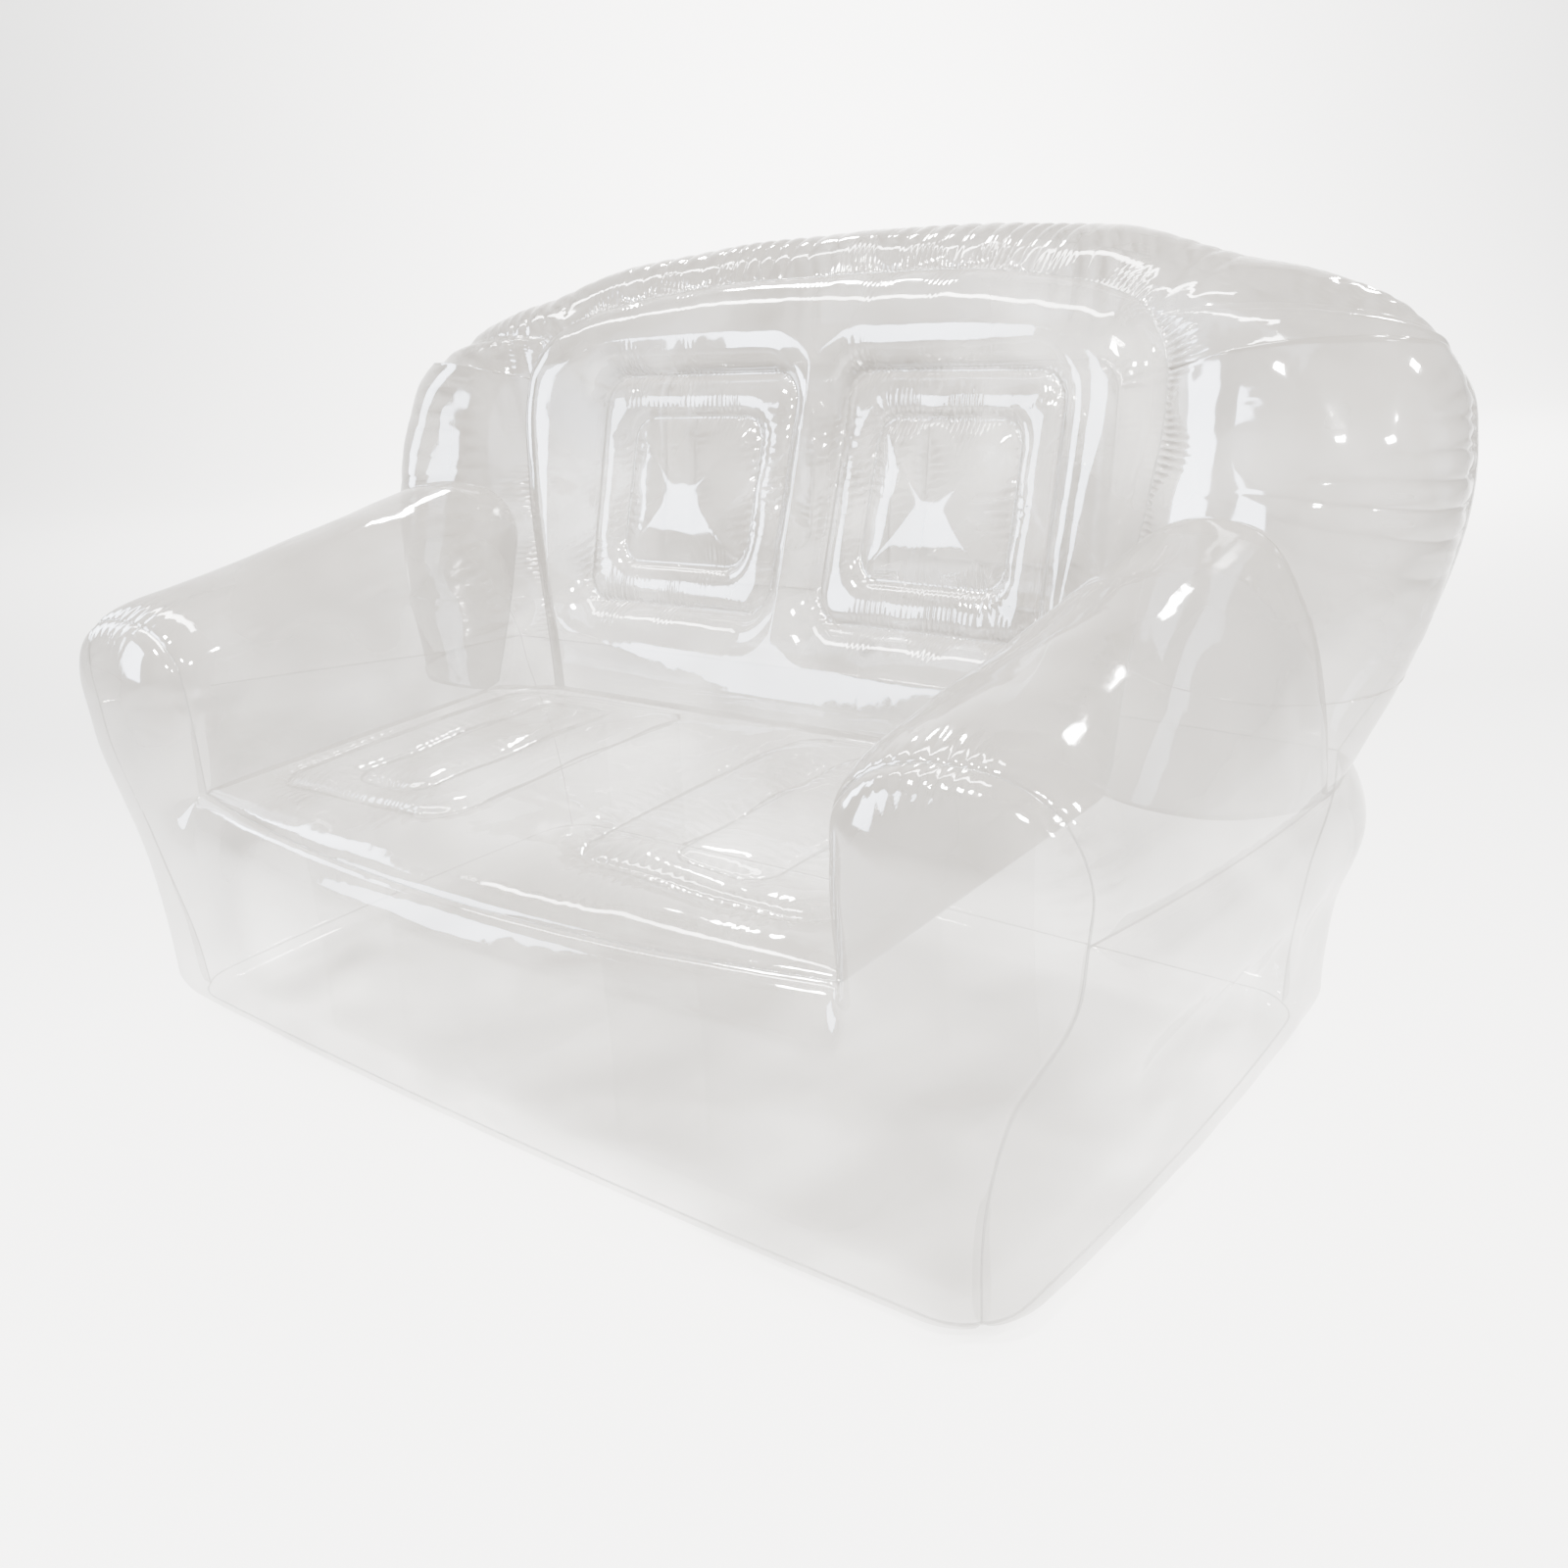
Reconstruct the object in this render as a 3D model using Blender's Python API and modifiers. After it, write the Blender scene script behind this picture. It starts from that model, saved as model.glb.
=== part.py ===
"""Clear inflatable two-seat chair, welded from flat panels of PVC film.

The chair is a bag of film panels that meet at welded seams. Each panel is a sheet of real thickness,
bowed out by the air behind it. Rings of film inside tie the seat to the floor panel, and the face of
the back to its rear, so that the air cannot round them off. A deck sheet parts the back's air from
the base's, and each of the two chambers has a filling valve.

+X is the sitter's left, seen from the front as the right. +Y runs from the front to the back, +Z is up.
"""

import math

import bmesh
import bpy
import numpy as np
from mathutils import Matrix, Vector
from mathutils.bvhtree import BVHTree

# Film and seams
FILM = 0.00035
SEAM_INSET = 0.0008
LAP = 0.0013
BEAM_GAP = 0.0006
ARM_TO_WING_GAP = 0.0016
MERGE = 0.00005

# Base
SEAT_HALF_WIDTH = 0.504
FLOOR_OUTSET = 0.1405
FLOOR_HALF_WIDTH = SEAT_HALF_WIDTH + FLOOR_OUTSET
FLOOR_FRONT_Y = -0.390
FLOOR_REAR_Y = 0.339
FLOOR_SEAM_Z = 0.022
FLOOR_CURL = 0.05
EDGE_BOW = 0.014
CORNER_ROUND = 0.060
CORNER_RISE = 0.26
FRONT_BOW = 0.046
FRONT_CROWN = 0.042
FRONT_CROWN_REACH = 0.10
SIDE_CROWN = 0.041
REAR_CROWN = 0.045
WALL_CROWN_REACH = 0.11

# Seat
SEAT_FRONT_Y = -0.388
SEAT_SEAM_Z = 0.3285
SEAT_RISE = 0.01
SEAT_REAR_Z = SEAT_SEAM_Z + SEAT_RISE
SEAT_CROWN = 0.022
SEAT_PILLOW = 0.012
SEAT_PILLOW_REACH = 0.045
SEAT_SAG = 0.008

# Arms
ARM_WIDTH = 0.234
ARM_OUTER_X = SEAT_HALF_WIDTH + ARM_WIDTH
ARM_FRONT_Y = -0.385
ARM_HEIGHT_FRONT = 0.2135
ARM_HEIGHT_REAR = 0.306
ARM_TOP_FRONT_Z = SEAT_SEAM_Z + ARM_HEIGHT_FRONT
ARM_TOP_REAR_Z = SEAT_SEAM_Z + ARM_HEIGHT_REAR
WAIST_HEIGHT = 0.0904
WAIST_FRONT_Z = SEAT_SEAM_Z + WAIST_HEIGHT
WAIST_REAR_OUTSET = 0.214
WAIST_REAR_X = SEAT_HALF_WIDTH + WAIST_REAR_OUTSET
WAIST_BOW = 0.011
ARM_CROWN = 0.0147
ARM_CROWN_REACH = 0.06

# Back
DECK_RISE = 0.02
DECK_REAR_Z = SEAT_REAR_Z + DECK_RISE
BACK_REAR_OUTSET = 0.177
BACK_REAR_HALF_WIDTH = SEAT_HALF_WIDTH + BACK_REAR_OUTSET
FOOT_INSET = 0.094
FOOT_X = SEAT_HALF_WIDTH - FOOT_INSET
FOOT_Y = 0.15
FACE_TOP_Y = 0.3525
FACE_SIDE_INSET = 0.004
FACE_SIDE_X = SEAT_HALF_WIDTH - FACE_SIDE_INSET
FACE_SIDE_NARROWING = 0.008
FACE_TOP_Z = 0.895
FACE_ARCH = 0.0335
FACE_ROUND = 0.099
FACE_WRAP = 0.08
FACE_PILLOW = 0.048
FACE_PILLOW_REACH = 0.062
WINDOW_PILLOW = 0.016
WINDOW_PILLOW_REACH = 0.0275
REAR_FOOT_Y = 0.33
REAR_TOP_Y = 0.443
REAR_SIDE_OUTSET = 0.29
REAR_SIDE_X = SEAT_HALF_WIDTH + REAR_SIDE_OUTSET
REAR_ROUND = 0.1115
SHOULDER_OUTSET = 0.104
SHOULDER_X = SEAT_HALF_WIDTH + SHOULDER_OUTSET
CROWN_INSET = 0.1065
CROWN_X = SEAT_HALF_WIDTH - CROWN_INSET
REAR_TOP_RISE = 0.034
REAR_TOP_Z = FACE_TOP_Z + REAR_TOP_RISE
WING_TOP_DROP = 0.1175
WING_TOP_Z = REAR_TOP_Z - WING_TOP_DROP
SHOULDER_DROP = 0.099
SHOULDER_Z = REAR_TOP_Z - SHOULDER_DROP
CROWN_DROP = 0.037
CROWN_Z = REAR_TOP_Z - CROWN_DROP
CROWN_EASE = 0.006
REAR_FOOT_WRAP = 0.03
REAR_TOP_WRAP = 0.094
REAR_PILLOW = 0.022
REAR_PILLOW_REACH = 0.06
WING_BULGE_FOOT = 0.1787
WING_BULGE_SIDE = 0.135
WING_BULGE_CORNER = 0.0505
WING_BULGE_TOP = 0.031

# Tie rings: each place has an outer ring, and an inner one a step inside it
SEAT_RING_FROM_MIDDLE = 0.10
SEAT_RING_FROM_SIDE = 0.064
SEAT_RING_FROM_FRONT = 0.055
SEAT_RING_FROM_BACK = 0.05
SEAT_RING_SIDE_STEP = 0.105
SEAT_RING_END_STEP = 0.0475
SEAT_RING_ROUND = 0.05
SEAT_RING_INNER_ROUND = 0.03
BACK_RING_FROM_MIDDLE = 0.039
BACK_RING_FROM_SIDE = 0.13
BACK_RING_FROM_SEAT = 0.134
BACK_RING_FROM_TOP = 0.117
BACK_RING_STEP = 0.0555
BACK_RING_ROUND = 0.04
BACK_RING_INNER_ROUND = 0.028
RING_CORNER_STEPS = 4
RING_SIDE_STEP = 0.06

# Filling valves, in each valve's own frame: its axis points out of the panel
RUNNING_GAP = 0.0003
FLANGE_RADIUS = 0.0140
FLANGE_THICK = 0.0010
FLANGE_EDGE = 0.0006
COLLAR_RADIUS = 0.0086
COLLAR_OUT = 0.0030
COLLAR_IN = 0.0040
STEM_RADIUS = 0.0062
BORE_RADIUS = 0.0036
STEM_OUT = 0.0160
STEM_IN = 0.0100
LIP_RADIUS = 0.0076
LIP_THICK = 0.0014
BEAD_RADIUS = 0.0073
BEAD_THICK = 0.0012
CAP_RADIUS = 0.0068
CAP_THICK = 0.0016
CAP_EDGE = 0.0004
NOSE_RADIUS = 0.0032
NOSE_TIP_RADIUS = 0.0024
NOSE_LENGTH = 0.0050
HINGE_REACH = 0.0100
HINGE_RADIUS = 0.0009
HINGE_WIDTH = 0.0044
STRAP_THICK = 0.0010
FLAP_RADIUS = 0.0050
FLAP_THICK = 0.0008
FLAP_HINGE_REACH = 0.0058
VALVE_STEPS = 20
HINGE_STEPS = 10

# Shapes of the seams, as shares of the sizes above
SIDE_SEAM_UP_SHARES = (0.0, 0.30, 0.55, 0.88, 1.0)
SIDE_SEAM_OUT_SHARES = (0.0, 0.04, 0.25, 0.93, 1.0)
ARCH_OUTER_ACROSS_SHARES = (0.0, -0.015, 0.07, 0.26, 0.50)
ARCH_OUTER_UP_SHARES = (0.0, 0.38, 0.74, 0.955, 1.0)
ARCH_INNER_ACROSS_SHARES = (0.69, 0.87, 0.97, 1.0, 1.0)
ARCH_INNER_UP_SHARES = (0.975, 0.89, 0.77, 0.55, 0.0)
WING_CHORD_SHARES = (0.0, 0.114, 0.282, 0.52, 0.774, 0.941, 1.0)
WING_BULGE_SHARES = (0.0, 0.33, 0.71, 0.97, 0.92, 0.58, 0.0)
WING_SIDE_SHARE = 0.55
INNER_EDGE_SHARE = 0.62
FACE_ARCH_SHARES = (0.5, 0.22)
CORNER_SIDE_SHARES = (0.0, 0.25, 0.5)
CORNER_TOP_SHARES = (0.88, 0.7, 0.5)
REAR_MIDDLE_SHARE = 0.5
REAR_MIDDLE_OUT_SHARE = 0.79
CROWN_EASE_SHARE = 0.55
PROBE_SHARES = (0.25, 0.5, 0.75)
TAB_SHARE = 0.9

# Mesh fineness, in cells
WALL_CELLS = 8
RIM_CELLS = 3
FLOOR_CELLS = 5
LOBE_CELLS = 5
BACK_RIM_CELLS = 4
ARM_LENGTH_CELLS = 8
WING_SECTION_CELLS = (1, 1, 4, 3)
BACK_ACROSS_CELLS = (1, 2, 3, 2)
BACK_UP_CELLS = (2, 3, 2)
SEAT_ACROSS_CELLS = (2, 2, 3, 2, 1, 1)
SEAT_LEAD_CELLS = 3
SEAT_MIDDLE_CELLS = (1, 6)
SEAT_TRAIL_CELLS = 3
DECK_CELLS = 4
FRONT_CELLS = 8
REAR_COLUMNS = 18
DRAW_BACK_PASSES = 6


def ring_edges(near, far, low, high, corner):
    """A ring of weld at the place at +X: a rounded rectangle between these four edges."""
    return {"near": near, "far": far, "low": low, "high": high, "round": corner}


def stepped_in(ring, across, along_, corner):
    """The ring a step inside another."""
    return ring_edges(
        ring["near"] + across, ring["far"] - across, ring["low"] + along_, ring["high"] - along_, corner
    )


SEAT_RING_OUTER = ring_edges(
    SEAT_RING_FROM_MIDDLE,
    SEAT_HALF_WIDTH - SEAT_RING_FROM_SIDE,
    ARM_FRONT_Y + SEAT_RING_FROM_FRONT,
    FOOT_Y - SEAT_RING_FROM_BACK,
    SEAT_RING_ROUND,
)
SEAT_RING_INNER = stepped_in(SEAT_RING_OUTER, SEAT_RING_SIDE_STEP, SEAT_RING_END_STEP, SEAT_RING_INNER_ROUND)
BACK_RING_OUTER = ring_edges(
    BACK_RING_FROM_MIDDLE,
    FACE_SIDE_X - BACK_RING_FROM_SIDE,
    SEAT_REAR_Z + BACK_RING_FROM_SEAT,
    FACE_TOP_Z - BACK_RING_FROM_TOP,
    BACK_RING_ROUND,
)
BACK_RING_INNER = stepped_in(BACK_RING_OUTER, BACK_RING_STEP, BACK_RING_STEP, BACK_RING_INNER_ROUND)


def reset_scene():
    for obj in list(bpy.data.objects):
        bpy.data.objects.remove(obj)


def make_collection(name):
    collection = bpy.data.collections.new(name)
    bpy.context.scene.collection.children.link(collection)
    return collection


def make_material(name, color, roughness, alpha):
    material = bpy.data.materials.new(name)
    material.use_nodes = True
    shader = material.node_tree.nodes["Principled BSDF"]
    shader.inputs["Base Color"].default_value = (*color, 1.0)
    shader.inputs["Roughness"].default_value = roughness
    shader.inputs["Metallic"].default_value = 0.0
    shader.inputs["Alpha"].default_value = alpha
    return material


# Curves and stations


def smooth(at, knots, values):
    """The smooth curve through the values at the knots, read at each place in at."""
    at = np.asarray(at, float)
    knots = np.asarray(knots, float)
    values = np.asarray(values, float)
    slopes = np.gradient(values, knots, axis=0)
    index = np.clip(np.searchsorted(knots, at) - 1, 0, len(knots) - 2)
    step = knots[index + 1] - knots[index]
    share = (at - knots[index]) / step
    if values.ndim > 1:
        step, share = step[..., None], share[..., None]
    near = (1 + 2 * share) * (1 - share) ** 2 * values[index]
    far = share**2 * (3 - 2 * share) * values[index + 1]
    near_slope = share * (1 - share) ** 2 * step * slopes[index]
    far_slope = share**2 * (share - 1) * step * slopes[index + 1]
    return near + far + near_slope + far_slope


def along(points, shares):
    """Points at these shares of the length of the smooth curve through the given points."""
    points = np.asarray(points, float)
    lengths = np.linalg.norm(np.diff(points, axis=0), axis=1)
    knots = np.concatenate([[0.0], np.cumsum(lengths)])
    return smooth(np.asarray(shares) * knots[-1], knots, points)


def even(cells):
    return np.linspace(0.0, 1.0, cells + 1)


def eased(cells):
    """Shares from 0 to 1 that crowd towards both ends, where film turns into a seam."""
    return 0.5 - 0.5 * np.cos(np.pi * even(cells))


def stations(breaks, cells):
    """Values that run through the breaks, with a number of cells between each two."""
    runs = [np.linspace(a, b, n + 1)[:-1] for a, b, n in zip(breaks, breaks[1:], cells)]
    return np.concatenate([*runs, [breaks[-1]]])


def mirrored(values):
    """Values from 0 up, repeated below 0."""
    return np.concatenate([-values[:0:-1], values])


def mix(a, b, share):
    return a + (b - a) * share


def unit(vectors):
    return vectors / np.linalg.norm(vectors, axis=-1, keepdims=True)


# How air bows a panel out between its welds


def bulge(distance, height, reach):
    """A quarter ellipse: upright at the weld, and level at the reach."""
    share = np.clip(distance / reach, 0.0, 1.0)
    return height * np.sqrt(1.0 - (1.0 - share) ** 2)


def distance_to_line(points, line):
    """Distance from each point to a line of straight pieces."""
    starts, ends = line[:-1], line[1:]
    runs = ends - starts
    offsets = points[..., None, :] - starts
    share = (offsets * runs).sum(-1) / np.maximum((runs * runs).sum(-1), FILM**2)
    nearest = starts + np.clip(share, 0.0, 1.0)[..., None] * runs
    return np.linalg.norm(points[..., None, :] - nearest, axis=-1).min(-1)


def distance_to_edges(grid):
    edges = (grid[0], grid[-1], grid[:, 0], grid[:, -1])
    return np.min([distance_to_line(grid, edge) for edge in edges], axis=0)


def distance_to_ring(across, along_, ring):
    """Signed distance to a rounded rectangle of the place at either side; negative inside it."""
    half_width = (ring["far"] - ring["near"]) / 2
    half_length = (ring["high"] - ring["low"]) / 2
    from_side = np.abs(np.abs(across) - (ring["far"] + ring["near"]) / 2) - half_width + ring["round"]
    from_end = np.abs(along_ - (ring["high"] + ring["low"]) / 2) - half_length + ring["round"]
    outside = np.hypot(np.maximum(from_side, 0.0), np.maximum(from_end, 0.0))
    inside = np.minimum(np.maximum(from_side, from_end), 0.0)
    return outside + inside - ring["round"]


def quilt(across, along_, edge_distance, outer, inner, heights, reaches):
    """How far film stands out between its edge and two nested rings of weld."""
    to_outer = distance_to_ring(across, along_, outer)
    to_inner = distance_to_ring(across, along_, inner)
    border = bulge(np.minimum(edge_distance, np.abs(to_outer)), heights[0], reaches[0])
    middle = bulge(np.minimum(np.abs(to_outer), np.abs(to_inner)), heights[1], reaches[1])
    return np.where(to_outer > 0.0, border, middle)


# Seams that the panels share, for the side at +X


def side_seam(low, high, shares):
    """The S-shaped seam up the corner of the base, which flares out below the waist."""
    low, high = np.array(low), np.array(high)
    out = smooth(shares, SIDE_SEAM_UP_SHARES, SIDE_SEAM_OUT_SHARES)
    depth = mix(low[1], high[1], shares)
    return np.stack([mix(low[0], high[0], out), depth, mix(low[2], high[2], shares)], axis=-1)


def base_heights():
    """Shares of the way up the front seam: the base wall, then the arm's front lobe."""
    seat_share = (SEAT_SEAM_Z - FLOOR_SEAM_Z) / (WAIST_FRONT_Z - FLOOR_SEAM_Z)
    wall = eased(WALL_CELLS) * seat_share
    lobe = mix(seat_share, 1.0, even(LOBE_CELLS))
    return wall, lobe


def front_seam():
    wall, lobe = base_heights()
    low = (FLOOR_HALF_WIDTH, FLOOR_FRONT_Y, FLOOR_SEAM_Z)
    high = (ARM_OUTER_X, ARM_FRONT_Y, WAIST_FRONT_Z)
    return side_seam(low, high, np.concatenate([wall, lobe[1:]]))


def rear_seam(shares):
    low = (FLOOR_HALF_WIDTH, FLOOR_REAR_Y, FLOOR_SEAM_Z)
    high = (BACK_REAR_HALF_WIDTH, rear_y(BACK_REAR_HALF_WIDTH, DECK_REAR_Z), DECK_REAR_Z)
    return side_seam(low, high, shares)


def floor_line(start, end, shares, bow):
    """A seam along the floor, bowed out between two corners."""
    start, end = np.array(start), np.array(end)
    line = mix(start, end, np.asarray(shares)[:, None])
    return line + np.array(bow) * (1.0 - (2.0 * np.asarray(shares)[:, None] - 1.0) ** 2)


def arch(outer_x, inner_x, waist_z, seat_z, top_z):
    """Named points of an arm's section, from the waist seam over the top to the seat seam, in x and z."""
    outer_up = [mix(waist_z, top_z, up) for up in ARCH_OUTER_UP_SHARES]
    inner_up = [mix(seat_z, top_z, up) for up in ARCH_INNER_UP_SHARES]
    across = [*ARCH_OUTER_ACROSS_SHARES, *ARCH_INNER_ACROSS_SHARES]
    return np.array([[mix(outer_x, inner_x, a), z] for a, z in zip(across, outer_up + inner_up)])


def arch_shares():
    """Where the samples of an arm's section lie: over the top, then down the inner edge."""
    over = even(2 * LOBE_CELLS) * INNER_EDGE_SHARE
    down = mix(INNER_EDGE_SHARE, 1.0, even(LOBE_CELLS))
    return np.concatenate([over, down[1:]])


def arm_front():
    section = arch(ARM_OUTER_X, SEAT_HALF_WIDTH, WAIST_FRONT_Z, SEAT_SEAM_Z, ARM_TOP_FRONT_Z)
    line = along(section, arch_shares())
    return np.stack([line[:, 0], np.full(len(line), ARM_FRONT_Y), line[:, 1]], axis=-1)


def seat_front(x):
    """The seam between the seat and the front panel: bowed forward, and a little slack."""
    share = 1.0 - (np.asarray(x) / SEAT_HALF_WIDTH) ** 2
    start = ARM_FRONT_Y
    y = start - (start - SEAT_FRONT_Y + FRONT_BOW) * share
    return np.stack([np.asarray(x, float), y, SEAT_SEAM_Z - SEAT_SAG * share], axis=-1)


# The back's two faces, as depth over width and height


def face_y(x, z):
    """The face of the back before the air bows it: leaning, and wrapped forward at its sides."""
    up = (z - SEAT_REAR_Z) / (FACE_TOP_Z - SEAT_REAR_Z)
    return mix(FOOT_Y, FACE_TOP_Y, up) - FACE_WRAP * up * (x / FACE_SIDE_X) ** 2


def rear_y(x, z):
    up = (z - DECK_REAR_Z) / (REAR_TOP_Z - DECK_REAR_Z)
    wrap = mix(REAR_FOOT_WRAP, REAR_TOP_WRAP, up)
    return mix(REAR_FOOT_Y, REAR_TOP_Y, up) - wrap * (x / REAR_SIDE_X) ** 2


def round_corner(side_x, top_z, radius, shares):
    """Points of a face's round top corner, from its side at share 0 to its top at share 1."""
    angles = math.pi / 2 * np.asarray(shares)
    return [(side_x - radius * (1 - math.cos(a)), top_z - radius * (1 - math.sin(a))) for a in angles]


def back_spans():
    """Stations across and up one half of the back: true to the rings, and shares of the rim outside them."""
    outer, inner = BACK_RING_OUTER, BACK_RING_INNER
    across = stations([0.0, outer["near"], inner["near"], inner["far"], outer["far"]], BACK_ACROSS_CELLS)
    up = stations([outer["low"], inner["low"], inner["high"], outer["high"]], BACK_UP_CELLS)
    return across, up, eased(BACK_RIM_CELLS)


def back_half(foot_z, side_knots, top_knots):
    """Width and height at each point of a face's half at +X: a rim stretched round the rings' area."""
    across, up, rim = back_spans()
    side_x, side_z = np.array(side_knots).T
    top_x, top_z = np.array(top_knots).T
    low = mix(foot_z, up[0], rim[:-1])
    height = np.concatenate([low, up])
    middle = np.stack(np.broadcast_arrays(across[None, :], height[:, None]), axis=-1)
    reach = smooth(height, side_z, side_x)[:, None]
    beside = np.stack(np.broadcast_arrays(mix(across[-1], reach, rim[None, 1:]), height[:, None]), axis=-1)
    rise = mix(up[-1], smooth(across, top_x, top_z)[None, :], rim[1:, None])
    above = np.stack(np.broadcast_arrays(across[None, :], rise), axis=-1)
    end_z = mix(up[-1], side_z[-1], rim)
    high_x = mix(across[-1], top_x[-1], rim)
    end = np.stack([smooth(end_z, side_z, side_x), end_z], axis=-1)
    high = np.stack([high_x, smooth(high_x, top_x, top_z)], axis=-1)
    start = np.stack([np.full(len(rim), across[-1]), mix(up[-1], high[0, 1], rim)], axis=-1)
    bottom = np.stack([mix(across[-1], end[0, 0], rim), np.full(len(rim), up[-1])], axis=-1)
    corner = coons(bottom, high, start, end)[1:, 1:]
    return np.concatenate([np.hstack([middle, beside]), np.hstack([above, corner])])


def back_grid(foot_z, side_knots, top_knots, depth):
    half = back_half(foot_z, side_knots, top_knots)
    plane = np.concatenate([half[:, :0:-1] * (-1.0, 1.0), half], axis=1)
    x, z = plane[..., 0], plane[..., 1]
    return np.stack([x, depth(x, z), z], axis=-1)


def face_grid():
    mid_z = mix(SEAT_REAR_Z, FACE_TOP_Z, WING_SIDE_SHARE)
    corner_z = FACE_TOP_Z - FACE_ARCH
    side = [(FOOT_X, SEAT_REAR_Z), (FACE_SIDE_X - FACE_SIDE_NARROWING, mid_z)]
    side += round_corner(FACE_SIDE_X, corner_z, FACE_ROUND, CORNER_SIDE_SHARES)
    along_share, drop_share = FACE_ARCH_SHARES
    top = [(0.0, FACE_TOP_Z), (FACE_SIDE_X * along_share, FACE_TOP_Z - FACE_ARCH * drop_share)]
    top += round_corner(FACE_SIDE_X, corner_z, FACE_ROUND, CORNER_TOP_SHARES)
    return back_grid(SEAT_REAR_Z, side, top, face_y)


def rear_grid():
    mid_z = mix(DECK_REAR_Z, WING_TOP_Z - REAR_ROUND, REAR_MIDDLE_SHARE)
    mid_x = mix(BACK_REAR_HALF_WIDTH, REAR_SIDE_X, REAR_MIDDLE_OUT_SHARE)
    side = [(BACK_REAR_HALF_WIDTH, DECK_REAR_Z), (mid_x, mid_z)]
    side += round_corner(REAR_SIDE_X, WING_TOP_Z, REAR_ROUND, CORNER_SIDE_SHARES)
    top = [(0.0, REAR_TOP_Z), (CROWN_X * CROWN_EASE_SHARE, REAR_TOP_Z - CROWN_EASE), (CROWN_X, CROWN_Z)]
    top += [(SHOULDER_X, SHOULDER_Z)]
    top += round_corner(REAR_SIDE_X, WING_TOP_Z, REAR_ROUND, CORNER_TOP_SHARES)
    return back_grid(DECK_REAR_Z, side, top, rear_y)


def outline(grid):
    """A face's edge, up one side, over the top and down the other."""
    return np.concatenate([grid[:, 0], grid[-1, 1:], grid[-2::-1, -1]])


def section_at(share):
    knots = even(len(WING_CHORD_SHARES) - 1)
    return smooth(share, knots, WING_CHORD_SHARES), smooth(share, knots, WING_BULGE_SHARES)


def foot_section(shares):
    """The wing's lowest section, in plan: it runs from the face's foot round to the rear."""
    foot = np.array([FOOT_X, FOOT_Y, SEAT_REAR_Z])
    rear = np.array([BACK_REAR_HALF_WIDTH, rear_y(BACK_REAR_HALF_WIDTH, DECK_REAR_Z), DECK_REAR_Z])
    chord = rear - foot
    out = unit(np.array([chord[1], -chord[0], 0.0]))
    run, height = section_at(np.asarray(shares))
    return foot + run[:, None] * chord + height[:, None] * WING_BULGE_FOOT * out


def share_at_x(x):
    """Where the wing's lowest section first reaches x."""
    fine = np.linspace(0.0, 1.0, 2001)
    reached = np.maximum.accumulate(foot_section(fine)[:, 0])
    return float(np.interp(x, reached, fine))


def wing_shares():
    """Shares round the wing's section, with one at each edge of the arm."""
    inner, outer = share_at_x(SEAT_HALF_WIDTH), share_at_x(WAIST_REAR_X)
    beside_ring = share_at_x(SEAT_RING_OUTER["far"])
    return stations([0.0, beside_ring, inner, outer, 1.0], WING_SECTION_CELLS)


def wing_bulge(count_side, count_top):
    """The wing's fullness along its length: deep at the sides, slim along the top."""
    side = smooth(
        even(count_side),
        (0.0, WING_SIDE_SHARE, 1.0),
        (WING_BULGE_FOOT, WING_BULGE_SIDE, WING_BULGE_CORNER),
    )
    heights = (WING_BULGE_TOP, WING_BULGE_TOP, WING_BULGE_CORNER)
    rise = smooth(np.abs(2 * even(count_top) - 1), (0.0, 0.5, 1.0), heights)
    return np.concatenate([side, rise[1:], side[-2::-1]])


def wing_grid(face, rear):
    """The horseshoe of film round the back, lofted from the face's edge to the rear's."""
    inner, outer = outline(face), outline(rear)
    chord = outer - inner
    path = unit(np.gradient(inner, axis=0) + np.gradient(outer, axis=0))
    out = unit(np.cross(path, chord))
    for end in (0, -1):
        out[end, 2] = 0.0
    out = unit(out)
    height = wing_bulge(len(face) - 1, face.shape[1] - 1)
    run, share = section_at(wing_shares())
    lift = (height[:, None] * share[None, :])[..., None] * out[:, None, :]
    return inner[:, None, :] + run[None, :, None] * chord[:, None, :] + lift


def seat_columns():
    outer, inner = SEAT_RING_OUTER, SEAT_RING_INNER
    breaks = [0.0, outer["near"], inner["near"], inner["far"], FOOT_X, outer["far"], SEAT_HALF_WIDTH]
    return mirrored(stations(breaks, SEAT_ACROSS_CELLS))


def seat_rear(x):
    """The seat's rear edge: straight along the face, then round the wing's foot."""
    corner = foot_section([0.0, share_at_x(SEAT_RING_OUTER["far"]), share_at_x(SEAT_HALF_WIDTH)])
    across = np.abs(np.asarray(x, float))
    y = np.interp(across, [0.0, *corner[:, 0]], [FOOT_Y, *corner[:, 1]])
    z = np.interp(across, [0.0, *corner[:, 0]], [SEAT_REAR_Z, *corner[:, 2]])
    return np.stack([np.asarray(x, float), y, z], axis=-1)


def seat_z(x, y):
    """Height of the seat's rings of weld: level with the seams at its edges, crowned between."""
    front, rear = seat_front(x), seat_rear(x)
    share = np.clip((y - front[..., 1]) / (rear[..., 1] - front[..., 1]), 0.0, 1.0)
    across = 1.0 - (x / SEAT_HALF_WIDTH) ** 4
    crown = SEAT_CROWN * across * (1.0 - (2.0 * share - 1.0) ** 4)
    return mix(front[..., 2], rear[..., 2], share) + crown


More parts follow.
